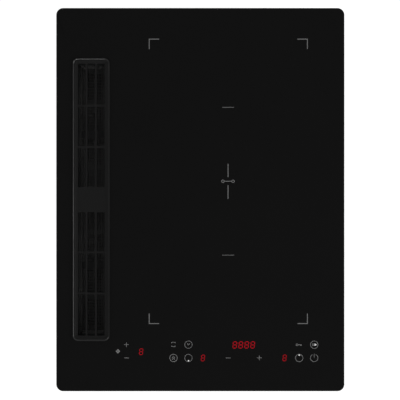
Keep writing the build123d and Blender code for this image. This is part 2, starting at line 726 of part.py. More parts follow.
def drip_tray():
    """Shallow tray with drafted sides, two baffles with finger holes, and a rolled lip."""
    top_w = TROUGH_BORE_W - 2 * TRAY_CLEAR
    top_l = TROUGH_BORE_L - 2 * TRAY_CLEAR
    low = TROUGH_FLOOR + TRAY_RIB_H
    high = low + TRAY_H
    down = Plane(origin=(WELL_X, 0, high), z_dir=(0, 0, -1))
    outer = extrude(down * RectangleRounded(top_w, top_l, WELL_R), TRAY_H, taper=TRAY_DRAFT)
    inner_w = top_w - 2 * TRAY_T
    inner_l = top_l - 2 * TRAY_T
    inner_outline = down * RectangleRounded(inner_w, inner_l, WELL_R - TRAY_T)
    inner = extrude(inner_outline, TRAY_H - TRAY_T, taper=TRAY_DRAFT)
    tray = outer - inner
    for y in spread(2, BAFFLE_DISTANCE):
        web = slab(inner_w, TRAY_T, low + TRAY_T / 2, low + BAFFLE_H, 0, WELL_X, y)
        hole_z = low + BAFFLE_H / 2 + TRAY_T
        hole = extrude(rear_plane(WELL_X, y - TRAY_T, hole_z) * Circle(FINGER_R), 2 * TRAY_T)
        tray += web.intersect(outer) - hole
    return tray


# ---------------------------------------------------------------- grease filter


FILTER_FLANGE_W = COLLAR_BORE_W - 2 * FILTER_CLEAR
FILTER_FLANGE_L = COLLAR_BORE_L - 2 * FILTER_CLEAR
FILTER_W = TROUGH_BORE_W - 2 * FILTER_CLEAR
FILTER_L = TROUGH_BORE_L - 2 * FILTER_CLEAR
FILTER_SEAT = -LEDGE_DEPTH
FILTER_UNDER = FILTER_SEAT - FILTER_H
FILTER_CORNER = WELL_R - WELL_WALL - FILTER_CLEAR
FILTER_INSIDE_W = FILTER_W - 2 * FILTER_T
FILTER_INSIDE_L = FILTER_L - 2 * FILTER_T
FILTER_FLOOR = FILTER_UNDER + FILTER_T


def filter_shell():
    """The cassette's outer walls as one ring, before it is cut into panels."""
    body = slab(FILTER_W, FILTER_L, FILTER_UNDER, FILTER_SEAT, FILTER_CORNER, WELL_X)
    high = FILTER_SEAT + PAST
    return body - slab(FILTER_INSIDE_W, FILTER_INSIDE_L, FILTER_FLOOR, high, FILTER_INNER_R, WELL_X)


def filter_frame():
    """Flat frame of the cassette, which seats on the collar's ledge."""
    corner = COLLAR_BORE_R - FILTER_CLEAR
    high = FILTER_SEAT + FILTER_T
    plate = slab(FILTER_FLANGE_W, FILTER_FLANGE_L, FILTER_SEAT, high, corner, WELL_X)
    low = FILTER_SEAT - PAST
    return plate - slab(FILTER_INSIDE_W, FILTER_INSIDE_L, low, high + PAST, FILTER_INNER_R, WELL_X)


def filter_panels():
    """Pressed panels welded under the frame: slotted long sides and floor, and two plain ends."""
    shell = filter_shell()
    size = 2 * FILTER_L
    step = (FILTER_INSIDE_L - FILTER_POST_W) / FILTER_WINDOWS
    window_l = step - FILTER_POST_W
    low = FILTER_UNDER + FILTER_RAIL_H
    high = FILTER_SEAT - FILTER_RAIL_H
    places = spread(FILTER_WINDOWS, step)
    side_windows = [slab(2 * FILTER_W, window_l, low, high, 0, WELL_X, y) for y in places]
    floor_window_w = FILTER_INSIDE_W - 2 * FILTER_RAIL_H
    panels = []
    for side in (-1, 1):
        beyond_side = WELL_X + side * (FILTER_INSIDE_W / 2 + size / 2)
        panels.append((shell & slab(size, size, -size, size, 0, beyond_side, 0)) - side_windows)
        beyond_end = side * (FILTER_INSIDE_L / 2 + size / 2)
        panels.append(shell & slab(FILTER_INSIDE_W, size, -size, size, 0, WELL_X, beyond_end))
    floor = slab(FILTER_INSIDE_W, FILTER_INSIDE_L, FILTER_UNDER, FILTER_FLOOR, 0, WELL_X)
    for y in places:
        floor -= slab(floor_window_w, window_l, FILTER_UNDER - PAST, FILTER_FLOOR + PAST, 0, WELL_X, y)
    return group(panels + [floor])


def filter_mesh():
    """Layered mesh liner that lines the panels' sides, ends and floor."""
    high = FILTER_SEAT - FILTER_T
    liner = slab(FILTER_INSIDE_W, FILTER_INSIDE_L, FILTER_FLOOR, high, FILTER_INNER_R, WELL_X)
    hollow_w = FILTER_INSIDE_W - 2 * MESH_T
    hollow_l = FILTER_INSIDE_L - 2 * MESH_T
    return liner - slab(hollow_w, hollow_l, FILTER_FLOOR + MESH_T, high + PAST, LEAST_R, WELL_X)


def filter_handles():
    """Two flat straps across the cassette to lift it by."""
    width = FILTER_INSIDE_W - 2 * MESH_T
    high = FILTER_SEAT - HANDLE_DROP
    straps = []
    for y in spread(2, HANDLE_DISTANCE):
        strap = slab(width, HANDLE_W, high - HANDLE_T, high, 0, WELL_X, y)
        tab_low = high - 2 * HANDLE_DROP
        for side in (-1, 1):
            x = WELL_X + side * (width - HANDLE_T) / 2
            strap += slab(HANDLE_T, HANDLE_W, tab_low, high, 0, x, y)
        straps.append(strap)
    return group(straps)


# ---------------------------------------------------------------- intake grille


def grille_top():
    return GLASS_TOP + GRILLE_PAD_T + GRILLE_LIP_H


def dished_pocket():
    """The sloping border: from the inner edge of the lip down to the slots."""
    high = grille_top()
    low = high - GRILLE_DISH
    wide_w = GRILLE_W - 2 * GRILLE_LIP_W
    wide_l = GRILLE_L - 2 * GRILLE_LIP_W
    wide = RectangleRounded(wide_w, wide_l, GRILLE_R - GRILLE_LIP_W)
    slot_w = GRILLE_W - 2 * GRILLE_BORDER
    slot_l = GRILLE_L - 2 * GRILLE_END
    narrow = RectangleRounded(slot_w, slot_l, GRILLE_LIP_W)
    return loft([Pos(WELL_X, 0, low) * narrow, Pos(WELL_X, 0, high) * wide]), slot_w, slot_l, low


def intake_grille():
    """Lift-off grille: lip, dished border, two long bars, cross bars and a solid centre panel."""
    flange_low = GLASS_TOP + GRILLE_PAD_T
    skirt_w = COLLAR_BORE_W - 2 * FILTER_CLEAR
    skirt_l = COLLAR_BORE_L - 2 * FILTER_CLEAR
    skirt_low = grille_top() - GRILLE_DISH - GRILLE_SKIRT_H
    corner = COLLAR_BORE_R - FILTER_CLEAR
    body = slab(GRILLE_W, GRILLE_L, flange_low, grille_top(), GRILLE_R, WELL_X)
    body += slab(skirt_w, skirt_l, skirt_low, grille_top() - GRILLE_LIP_H, corner, WELL_X)
    pocket, slot_w, slot_l, deck = dished_pocket()
    body -= pocket
    under_w = skirt_w - 2 * GRILLE_SKIRT_T
    under_l = skirt_l - 2 * GRILLE_SKIRT_T
    body -= slab(under_w, under_l, skirt_low - PAST, deck - GRILLE_BAR_H, LEAST_R, WELL_X)
    half_l = (slot_l - GRILLE_PANEL_L) / 2
    row_step = (half_l + GRILLE_CROSS_W) / SLOT_ROWS
    column_step = (slot_w + GRILLE_BAR_W) / SLOT_COLUMNS
    slot = RectangleRounded(column_step - GRILLE_BAR_W, row_step - GRILLE_CROSS_W, SLOT_R)
    cut_h = GRILLE_SKIRT_H + GRILLE_DISH
    cuts = []
    for end in (-1, 1):
        centre = end * (GRILLE_PANEL_L + half_l) / 2
        for dy in spread(SLOT_ROWS, row_step):
            for dx in spread(SLOT_COLUMNS, column_step):
                cuts.append(extrude(Pos(WELL_X + dx, centre + dy, skirt_low) * slot, cut_h))
    return body - cuts


def grille_pads():
    """Silicone strips between the grille flange and the glass."""
    band = GRILLE_LAP - PAD_MARGIN
    x = (GRILLE_W + OPENING_W) / 4
    low = GLASS_TOP
    high = GLASS_TOP + GRILLE_PAD_T
    pads = []
    for side in (-1, 1):
        for y in spread(PADS_EACH_SIDE, PAD_PITCH):
            pads.append(slab(band, PAD_L, low, high, 0, WELL_X + side * x, y))
    return group(pads)


# ---------------------------------------------------------------- blower housing


def chamber_outline(grow=0.0):
    """Plan of the air chamber: a disc over the impeller drawn out to the trough windows."""
    disc = Pos(FAN_X, FAN_Y) * Circle(CHAMBER_R)
    strip_l = WINDOW_L + 2 * BLOWER_WALL
    strip = Pos(CHAMBER_LEFT + BLOWER_WALL + WINDOW_WALL_T / 2, 0) * Rectangle(WINDOW_WALL_T, strip_l)
    outline = make_hull(disc.edges() + strip.edges())
    return offset(outline, grow, kind=Kind.ARC) if grow else outline


def right_of_trough(shape):
    """Cuts a shape off flush with the duct gasket."""
    size = GLASS_W + GLASS_D
    keep = slab(size, 2 * size, -size, size, 0, CHAMBER_LEFT + size / 2, 0)
    return shape & keep


def scroll_outline():
    """Air side of the volute: arcs that step outwards, then the diffuser up to the mouth."""
    step = SCROLL_STEP / 2
    first = Vector(FAN_X - step, FAN_Y - step)
    second = Vector(FAN_X + step, FAN_Y - step)
    third = Vector(FAN_X + step, FAN_Y + step)
    cutoff = first + Vector(0, SCROLL_R1 - SCROLL_R0)
    lead = radians(TONGUE_ANGLE)
    tongue = cutoff + Vector(SCROLL_R0 * cos(lead), SCROLL_R0 * sin(lead))
    right = third + Vector(SCROLL_R3, 0)
    mouth_right = Vector(right.X, MOUTH_Y)
    mouth_left = Vector(right.X - MOUTH_W, MOUTH_Y)
    outline = make_face([
        CenterArc(cutoff, SCROLL_R0, TONGUE_ANGLE, 90 - TONGUE_ANGLE),
        CenterArc(first, SCROLL_R1, 90, 90),
        CenterArc(second, SCROLL_R2, 180, 90),
        CenterArc(third, SCROLL_R3, 270, 90),
        Line(right, mouth_right),
        Line(mouth_right, mouth_left),
        Line(mouth_left, tongue),
    ])
    return fillet(outline.vertices().sort_by_distance(tongue)[0], TONGUE_R)


def scroll_shell_outline():
    """The volute with its wall, cut square at the mouth."""
    size = GLASS_W + GLASS_D
    behind = Pos(FAN_X, MOUTH_Y + size / 2) * Rectangle(2 * size, size)
    return offset(scroll_outline(), BLOWER_WALL, kind=Kind.ARC) - behind


def scroll_ears():
    """Screw places round the volute, each just outside its wall."""
    step = SCROLL_STEP / 2
    arcs = (
        (FAN_X - step, FAN_Y - step, SCROLL_R1),
        (FAN_X + step, FAN_Y - step, SCROLL_R2),
        (FAN_X + step, FAN_Y + step, SCROLL_R3),
    )
    places = []
    for (x, y, radius), angles in zip(arcs, SCROLL_EAR_ANGLES):
        for a in map(radians, angles):
            places.append((x + (radius + EAR_REACH) * cos(a), y + (radius + EAR_REACH) * sin(a)))
    return places


def bell_mouth():
    """Inlet ring: a quarter-round that leads the air down into the impeller's eye."""
    centre = (THROAT_R + BELL_R, CHAMBER_FLOOR - BELL_R)
    air_side = CenterArc(centre, BELL_R, 90, 90)
    back = CenterArc(centre, BELL_R - BLOWER_WALL, 90, 90)
    face = make_face([air_side, Line(air_side @ 1, back @ 1), back, Line(back @ 0, air_side @ 0)])
    return Pos(FAN_X, FAN_Y) * revolve(Plane.XZ * face, Axis.Z)


def chamber_housing():
    """Upper half of the blower: air chamber, bell mouth and roof of the scroll in one moulding."""
    outer = Pos(0, 0, CHAMBER_UNDER) * extrude(chamber_outline(BLOWER_WALL), CHAMBER_H)
    land_low = CHAMBER_TOP - BLOWER_WALL
    land = Pos(0, 0, land_low) * extrude(chamber_outline(BLOWER_WALL + CHAMBER_LAND), BLOWER_WALL)
    body = outer + land
    for x, y in chamber_ears():
        body += rod(EAR_R, land_low - BLOWER_WALL, CHAMBER_TOP, x, y)
    body = right_of_trough(body)
    body += Pos(0, 0, CHAMBER_UNDER) * extrude(scroll_shell_outline(), BLOWER_WALL)
    for x, y in scroll_ears():
        body += rod(EAR_R, CHAMBER_UNDER, CHAMBER_FLOOR, x, y)
    lip_w = MOUTH_W + 2 * (BLOWER_WALL + SPIGOT_FLANGE)
    lip_y = MOUTH_Y - BLOWER_WALL / 2
    body += slab(lip_w, BLOWER_WALL, CHAMBER_UNDER, CHAMBER_FLOOR + SPIGOT_FLANGE, 0, MOUTH_X, lip_y)
    body -= Pos(0, 0, CHAMBER_FLOOR) * extrude(chamber_outline(), CHAMBER_H)
    body -= hole(THROAT_R + BELL_R, CHAMBER_UNDER, CHAMBER_FLOOR, FAN_X, FAN_Y)
    body += bell_mouth()
    cuts = window_cuts(6 * BLOWER_WALL, CHAMBER_LEFT)
    cuts += [hole(SCREW_R, land_low - BLOWER_WALL, CHAMBER_TOP, x, y) for x, y in chamber_ears()]
    cuts += [hole(SCREW_R, CHAMBER_UNDER, CHAMBER_FLOOR, x, y) for x, y in scroll_ears()]
    return body - cuts


def chamber_gasket():
    land = extrude(chamber_outline(BLOWER_WALL + CHAMBER_LAND) - chamber_outline(), GASKET_T)
    gasket = Pos(0, 0, CHAMBER_TOP) * land
    for x, y in chamber_ears():
        gasket += rod(EAR_R, CHAMBER_TOP, PAN_UNDER, x, y)
    gasket -= Pos(0, 0, CHAMBER_TOP - PAST) * extrude(chamber_outline(), GASKET_T + 2 * PAST)
    foot_edge = TROUGH_SIDE + FOOT_W
    size = GLASS_W + GLASS_D
    gasket &= slab(size, 2 * size, -size, size, 0, foot_edge + size / 2, 0)
    return gasket - [hole(SCREW_R, CHAMBER_TOP, PAN_UNDER, x, y) for x, y in chamber_ears()]


def duct_gasket():
    """Foam strip between the trough's windows and the chamber's windows."""
    high = (TROUGH_TOP - WELL_WALL + WINDOW_TOP) / 2
    low = CHAMBER_UNDER
    x = TROUGH_SIDE + GASKET_T / 2
    strip = slab(GASKET_T, WINDOW_L + 2 * BLOWER_WALL, low, high, 0, x, 0)
    return strip - window_cuts(2 * GASKET_T, x)


def motor_ear_places():
    return on_circle(MOTOR_EARS, MOTOR_EAR_PCD / 2, FAN_X, FAN_Y, MOTOR_FIRST_EAR)


def scroll_housing():
    """Lower half of the blower: the volute with its floor, motor opening and mouth flange."""
    outer = Pos(0, 0, SCROLL_UNDER) * extrude(scroll_shell_outline(), CHAMBER_UNDER - SCROLL_UNDER)
    for x, y in scroll_ears():
        outer += rod(EAR_R, CHAMBER_UNDER - 2 * EAR_R, CHAMBER_UNDER, x, y)
    flange_w = MOUTH_W + 2 * (BLOWER_WALL + SPIGOT_FLANGE)
    flange_low = SCROLL_UNDER - SPIGOT_FLANGE
    flange_y = MOUTH_Y - BLOWER_WALL / 2
    outer += slab(flange_w, BLOWER_WALL, flange_low, CHAMBER_UNDER, 0, MOUTH_X, flange_y)
    air = Pos(0, 0, SCROLL_FLOOR) * extrude(scroll_outline(), SCROLL_INNER_H + PAST)
    mouth = slab(MOUTH_W, 2 * BLOWER_WALL, SCROLL_FLOOR, CHAMBER_UNDER + PAST, 0, MOUTH_X, MOUTH_Y)
    body = outer - air - mouth
    rib_r = MOTOR_EAR_PCD / 2 + GROMMET_R + 2 * BLOWER_WALL
    rib_low = SCROLL_UNDER - SCROLL_RIB_H
    body += tube(rib_r + BLOWER_WALL, rib_r, rib_low, SCROLL_UNDER, FAN_X, FAN_Y)
    cuts = [hole(MOTOR_R + MOTOR_HOLE_GAP, SCROLL_UNDER, SCROLL_FLOOR, FAN_X, FAN_Y)]
    cuts += [hole(SCREW_R, SCROLL_UNDER, SCROLL_FLOOR, x, y) for x, y in motor_ear_places()]
    cuts += [hole(SCREW_R, CHAMBER_UNDER - 2 * EAR_R, CHAMBER_UNDER, x, y) for x, y in scroll_ears()]
    return body - cuts


def housing_screws():
    """Screws through the chamber's ears into the pan, and through the scroll's ears."""
    land_low = CHAMBER_TOP - 2 * BLOWER_WALL
    upper_l = PAN_FLOOR - land_low + GASKET_T
    upper = [pan_head_screw(x, y, land_low, upper_l) for x, y in chamber_ears()]
    scroll_low = CHAMBER_UNDER - 2 * EAR_R
    lower = [pan_head_screw(x, y, scroll_low, CHAMBER_FLOOR - scroll_low) for x, y in scroll_ears()]
    return group(upper + lower)


# ---------------------------------------------------------------- impeller and motor


def blade_outline():
    """Section of one forward-curved blade, from the eye to the rim."""
    tip_r = IMPELLER_R - BLADE_T
    root_r = EYE_R + BLADE_T
    lead = radians(BLADE_LEAD)
    early = radians(BLADE_EARLY_LEAD)
    middle_r = (tip_r + root_r) / 2
    root = Vector(root_r, 0)
    middle = Vector(middle_r * cos(early), middle_r * sin(early))
    tip = Vector(tip_r * cos(lead), tip_r * sin(lead))
    return trace(ThreePointArc(root, middle, tip), BLADE_T)


def impeller():
    """Forward-curved impeller: back plate, ring of blades, upper ring and a domed, open hub."""
    low = IMPELLER_UNDER
    high = IMPELLER_TOP
    plate = tube(IMPELLER_R, HUB_R - HUB_WALL, low, low + IMPELLER_PLATE_T)
    ring = tube(IMPELLER_R, IMPELLER_R - BLADE_CHORD / 3, high - IMPELLER_PLATE_T, high)
    blades = [Rot(0, 0, i * 360 / BLADES) * blade_outline() for i in range(BLADES)]
    wheel = plate + ring
    wheel += [Pos(0, 0, low) * extrude(blade, IMPELLER_H) for blade in blades]
    hub_high = low + HUB_H
    hub = Pos(0, 0, low) * extrude(Circle(HUB_R), HUB_H, taper=HUB_DRAFT)
    hub = fillet(hub.faces().sort_by(Axis.Z)[-1].edges(), BLADE_CHORD / 2)
    core = Pos(0, 0, low) * extrude(Circle(HUB_R - HUB_WALL), HUB_H - HUB_WALL, taper=HUB_DRAFT)
    hub -= core
    hub += rod(HUB_BOSS_R, MOTOR_TOP + HUB_RUN_GAP, hub_high)
    slot = SlotOverall(HUB_SLOT_L, HUB_BOSS_R)
    slot_r = (HUB_TOP_R + HUB_BOSS_R) / 2 - HUB_WALL
    for i in range(HUB_SPOKES):
        place = Rot(0, 0, i * 360 / HUB_SPOKES) * Pos(slot_r, 0, hub_high - 2 * HUB_WALL)
        hub -= place * extrude(slot, 3 * HUB_WALL)
    wheel += hub
    wheel -= hole(SHAFT_R, low, hub_high)
    return Pos(FAN_X, FAN_Y, 0) * wheel


def impeller_shaft():
    high = IMPELLER_UNDER + HUB_H + HUB_WALL
    shaft = rod(SHAFT_R, MOTOR_UNDER + HUB_WALL, high, FAN_X, FAN_Y)
    return chamfer(shaft.faces().sort_by(Axis.Z)[-1].edges(), SHAFT_R / 5)


def blower_motor():
    """Motor can, which stands in the hub, with three mounting ears below the scroll."""
    body = rod(MOTOR_R, MOTOR_UNDER, MOTOR_TOP, FAN_X, FAN_Y)
    body = chamfer(body.faces().sort_by(Axis.Z)[0].edges(), HUB_WALL)
    body = chamfer(body.faces().sort_by(Axis.Z)[-1].edges(), HUB_WALL)
    low = MOTOR_FLANGE_UNDER
    high = MOTOR_FLANGE_TOP
    arm_l = MOTOR_EAR_PCD / 2
    arm = slab(arm_l, 2 * GROMMET_R, low, high, 0, arm_l / 2, 0)
    for i, (x, y) in enumerate(motor_ear_places()):
        body += rod(GROMMET_R + HUB_WALL, low, high, x, y)
        body += Pos(FAN_X, FAN_Y, 0) * Rot(0, 0, MOTOR_FIRST_EAR + i * 360 / MOTOR_EARS) * arm
    body -= [hole(SCREW_HEAD_R, low, high, x, y) for x, y in motor_ear_places()]
    body -= hole(SHAFT_R + MOTOR_BORE_GAP, MOTOR_UNDER, MOTOR_TOP, FAN_X, FAN_Y)
    body -= [rod(BEARING_R, z, z + BEARING_T, FAN_X, FAN_Y) for z in bearing_lows()]
    slot = extrude(SlotOverall(MOTOR_SLOT_L, MOTOR_SLOT_W), 2 * HUB_WALL)
    slot = Pos(MOTOR_SLOT_R, 0, MOTOR_UNDER - PAST) * slot
    around = Pos(FAN_X, FAN_Y, 0)
    return body - [around * Rot(0, 0, i * 360 / MOTOR_SLOTS) * slot for i in range(MOTOR_SLOTS)]


def bearing_lows():
    return (MOTOR_UNDER + 2 * HUB_WALL, MOTOR_TOP - 2 * HUB_WALL - BEARING_T)


def motor_bearings():
    bore = SHAFT_R + SHAFT_FIT
    return group(tube(BEARING_R, bore, low, low + BEARING_T, FAN_X, FAN_Y) for low in bearing_lows())


def motor_grommets():
    """Rubber mounts: a cushion above the motor ear, a neck through it and a washer below."""
    grommets = []
    for x, y in motor_ear_places():
        upper = rod(GROMMET_R, MOTOR_FLANGE_TOP, SCROLL_UNDER, x, y)
        neck = rod(SCREW_HEAD_R, MOTOR_FLANGE_UNDER, MOTOR_FLANGE_TOP, x, y)
        lower = rod(GROMMET_R, MOTOR_FLANGE_UNDER - GROMMET_GAP, MOTOR_FLANGE_UNDER, x, y)
        bore = hole(SCREW_R, MOTOR_FLANGE_UNDER - GROMMET_GAP, SCROLL_UNDER, x, y)
        grommets.append(upper + neck + lower - bore)
    return group(grommets)


def motor_screws():
    seat = MOTOR_FLANGE_UNDER - GROMMET_GAP
    return group(pan_head_screw(x, y, seat, SCROLL_FLOOR - seat) for x, y in motor_ear_places())


# ---------------------------------------------------------------- outlet spigot and flap


def spigot_gasket():
    width = MOUTH_W + 2 * (BLOWER_WALL + SPIGOT_FLANGE)
    height = CHAMBER_FLOOR - SCROLL_UNDER + 2 * SPIGOT_FLANGE
    outer = duct(width, height, SPIGOT_R, MOUTH_Y, SPIGOT_START, MOUTH_X, MOUTH_Z)
    start = MOUTH_Y - PAST
    return outer - duct(MOUTH_W, SCROLL_INNER_H, MOUTH_R, start, SPIGOT_START + PAST, MOUTH_X, MOUTH_Z)


def spigot_taper(start_outline, end_outline, start, end):
    """The stretch that widens from the mouth to the duct's width."""
    narrow = rear_plane(MOUTH_X, start, MOUTH_Z) * start_outline
    return loft([narrow, rear_plane(SPIGOT_X, end, MOUTH_Z) * end_outline])


def spigot_outside():
    flange_w = MOUTH_W + 2 * (BLOWER_WALL + SPIGOT_FLANGE)
    flange_h = CHAMBER_FLOOR - SCROLL_UNDER + 2 * SPIGOT_FLANGE
    flange_end = SPIGOT_START + SPIGOT_FLANGE_T
    throat_w = MOUTH_W + 2 * SPIGOT_WALL
    throat_r = MOUTH_R + SPIGOT_WALL
    body = duct(flange_w, flange_h, SPIGOT_R, SPIGOT_START, flange_end, MOUTH_X, MOUTH_Z)
    body += duct(throat_w, SPIGOT_H, throat_r, SPIGOT_START, THROAT_END, MOUTH_X, MOUTH_Z)
    narrow = RectangleRounded(throat_w, SPIGOT_H, throat_r)
    wide = RectangleRounded(SPIGOT_W, SPIGOT_H, SPIGOT_R)
    body += spigot_taper(narrow, wide, THROAT_END, TAPER_END)
    body += duct(SPIGOT_W, SPIGOT_H, SPIGOT_R, TAPER_END, SPIGOT_END, SPIGOT_X, MOUTH_Z)
    stop_w = SPIGOT_W + 2 * SPIGOT_STOP_H
    stop_h = SPIGOT_H + 2 * SPIGOT_STOP_H
    stop_end = TAPER_END + SPIGOT_STOP_W
    return body + duct(stop_w, stop_h, SPIGOT_R + SPIGOT_STOP_H, TAPER_END, stop_end, SPIGOT_X, MOUTH_Z)


def spigot_bore():
    bore_w = SPIGOT_W - 2 * SPIGOT_WALL
    bore_r = SPIGOT_R - SPIGOT_WALL
    body = duct(MOUTH_W, SCROLL_INNER_H, MOUTH_R, SPIGOT_START - PAST, THROAT_END, MOUTH_X, MOUTH_Z)
    narrow = RectangleRounded(MOUTH_W, SCROLL_INNER_H, MOUTH_R)
    wide = RectangleRounded(bore_w, SCROLL_INNER_H, bore_r)
    body += spigot_taper(narrow, wide, THROAT_END, TAPER_END)
    return body + duct(bore_w, SCROLL_INNER_H, bore_r, TAPER_END, SPIGOT_END + PAST, SPIGOT_X, MOUTH_Z)


def flap_seat():
    """Frame inside the throat that the closed flap rests against."""
    low = MOUTH_Z - SCROLL_INNER_H / 2
    high = FLAP_Z - 2 * FLAP_KNUCKLE_R
    y = FLAP_Y - FLAP_T / 2 - FLAP_SEAT_GAP - FLAP_SEAT_T / 2
    plate = slab(MOUTH_W + SPIGOT_WALL, FLAP_SEAT_T, low - SPIGOT_WALL / 2, high, 0, MOUTH_X, y)
    return plate - slab(MOUTH_W - 2 * FLAP_SEAT, 2 * FLAP_SEAT_T, low + FLAP_SEAT, high + PAST, 0, MOUTH_X, y)


def outlet_spigot():
    """Flange, short throat with the flap's seat, taper, and the end that takes flat duct."""
    body = spigot_outside()
    axle_end = MOUTH_W / 2 + 2 * SPIGOT_WALL
    body += rod_along_x(2 * FLAP_AXLE_R, MOUTH_X - axle_end, MOUTH_X + axle_end, FLAP_Y, FLAP_Z)
    body -= spigot_bore()
    axle_r = FLAP_AXLE_R + SHAFT_FIT
    reach = axle_end + PAST
    return body + flap_seat() - rod_along_x(axle_r, MOUTH_X - reach, MOUTH_X + reach, FLAP_Y, FLAP_Z)


def damper_flap():
    """Top-hung flap with a hinge barrel and stiffening ribs on its outlet side."""
    width = MOUTH_W - 2 * FLAP_CLEAR
    low = SCROLL_FLOOR + FLAP_CLEAR
    flap = slab(width, FLAP_T, low, FLAP_Z, 0, MOUTH_X, FLAP_Y)
    barrel_ends = (MOUTH_X - width / 2, MOUTH_X + width / 2)
    flap += rod_along_x(FLAP_KNUCKLE_R, barrel_ends[0], barrel_ends[1], FLAP_Y, FLAP_Z)
    rib_low = low + 2 * FLAP_SEAT
    for x in spread(FLAP_RIBS, width / FLAP_RIBS):
        flap += slab(FLAP_T, 2 * FLAP_T, rib_low, FLAP_Z, 0, MOUTH_X + x, FLAP_Y + FLAP_T)
    return flap - rod_along_x(FLAP_AXLE_R, barrel_ends[0] - PAST, barrel_ends[1] + PAST, FLAP_Y, FLAP_Z)


def damper_axle():
    reach = MOUTH_W / 2 + 2 * SPIGOT_WALL
    return rod_along_x(FLAP_AXLE_R, MOUTH_X - reach, MOUTH_X + reach, FLAP_Y, FLAP_Z)


# ---------------------------------------------------------------- coils


def coil_y(side):
    """Centre of the front (-1) or rear (+1) coil."""
    return ZONE_Y + side * COIL_STEP


def coil_winding(side):
    """Flat winding with rounded corners, grooved between its bands of turns."""
    y = coil_y(side)
    eye = slab(COIL_EYE_W, COIL_EYE_D, COIL_UNDER - PAST, COIL_TOP + PAST, COIL_EYE_R, ZONE_X, y)
    groove_low = COIL_TOP - COIL_GROOVE_H
    winding = slab(COIL_W, COIL_D, COIL_UNDER, COIL_TOP, COIL_R, ZONE_X, y) - eye
    for i in range(1, COIL_GROOVES + 1):
        share = i / (COIL_GROOVES + 1)
        width = COIL_EYE_W + share * (COIL_W - COIL_EYE_W)
        depth = COIL_EYE_D + share * (COIL_D - COIL_EYE_D)
        corner = COIL_EYE_R + share * (COIL_R - COIL_EYE_R)
        winding -= rim(width, depth, COIL_GROOVE_W, groove_low, COIL_TOP + PAST, corner, ZONE_X, y)
    return winding


def coil_former(side):
    """Moulded plate below a winding, with a rim round the winding and a hole for the sensor."""
    y = coil_y(side)
    width = COIL_W + 2 * FORMER_RIM
    depth = COIL_D + 2 * FORMER_RIM
    corner = COIL_R + FORMER_RIM
    plate = slab(width, depth, FORMER_UNDER, COIL_UNDER, corner, ZONE_X, y)
    plate += rim(width, depth, FORMER_RIM, COIL_UNDER, COIL_TOP - FORMER_RIM, corner, ZONE_X, y)
    return plate - hole(SENSOR_R + SENSOR_CLEAR, FORMER_UNDER, COIL_UNDER, ZONE_X, y)


def ferrite_bars():
    bars = []
    for side in (-1, 1):
        for i in range(FERRITES):
            bar = slab(FERRITE_L, FERRITE_W, FERRITE_UNDER, FORMER_UNDER, 0, COIL_EYE_W, 0)
            bars.append(Pos(ZONE_X, coil_y(side), 0) * Rot(0, 0, (i + 0.5) * 360 / FERRITES) * bar)
    return group(bars)


def spring_places():
    reach = COIL_PLATE_W / 2 - COIL_PLATE_T - SPRING_R - SPRING_FOLD_GAP
    ys = spread(SPRING_ROWS, COIL_PLATE_D / SPRING_ROWS)
    return [(ZONE_X + side * reach, ZONE_Y + y) for side in (-1, 1) for y in ys]


def coil_plate():
    """Aluminium tray under both coils, with folded edges."""
    corner = 2 * COIL_PLATE_T
    fold_low = COIL_PLATE_UNDER - COIL_PLATE_FOLD
    plate = slab(COIL_PLATE_W, COIL_PLATE_D, COIL_PLATE_UNDER, FERRITE_UNDER, corner, ZONE_X, ZONE_Y)
    plate += rim(COIL_PLATE_W, COIL_PLATE_D, COIL_PLATE_T, fold_low, FERRITE_UNDER, corner, ZONE_X, ZONE_Y)
    sensor_hole = hole(SENSOR_R + SENSOR_CLEAR, COIL_PLATE_UNDER, FERRITE_UNDER, ZONE_X, 0)
    return plate - [Pos(0, coil_y(side), 0) * sensor_hole for side in (-1, 1)]


def mica_sheets():
    sheets = []
    for side in (-1, 1):
        y = coil_y(side)
        sheet = slab(COIL_W, COIL_D, COIL_TOP, GLASS_UNDER, COIL_R, ZONE_X, y)
        sheets.append(sheet - hole(SENSOR_R + SENSOR_CLEAR, COIL_TOP, GLASS_UNDER, ZONE_X, y))
    return group(sheets)


def temperature_sensors():
    """Spring-loaded sensor buttons pressed against the glass through each coil's eye."""
    sensors = []
    for side in (-1, 1):
        y = coil_y(side)
        stem = rod(SENSOR_R / 2, COIL_PLATE_UNDER, COIL_UNDER, ZONE_X, y)
        sensors.append(stem + rod(SENSOR_R, COIL_UNDER, GLASS_UNDER, ZONE_X, y))
    return group(sensors)


def support_springs():
    """Sleeves over springs that press the coil plate up against the glass."""
    return group(
        tube(SPRING_R, SPRING_R - SPRING_T, PAN_FLOOR, COIL_PLATE_UNDER, x, y) for x, y in spring_places()
    )


# ---------------------------------------------------------------- power electronics


def board_corner_places():
    xs = spread(2, BOARD_W - 2 * BOARD_INSET)
    ys = spread(3, BOARD_L / 2 - BOARD_INSET)
    return [(ZONE_X + x, ZONE_Y + y) for x in xs for y in ys]


def power_board():
    board = slab(BOARD_W, BOARD_L, BOARD_UNDER, BOARD_TOP, BOARD_R, ZONE_X, ZONE_Y)
    return board - [hole(SCREW_R, BOARD_UNDER, BOARD_TOP, x, y) for x, y in board_corner_places()]


def board_standoffs():
    posts = []
    for x, y in board_corner_places():
        post = rod(STANDOFF_R, PAN_FLOOR, BOARD_UNDER, x, y)
        posts.append(post + rod(SCREW_R, BOARD_UNDER, BOARD_TOP + PAST, x, y))
    return group(posts)


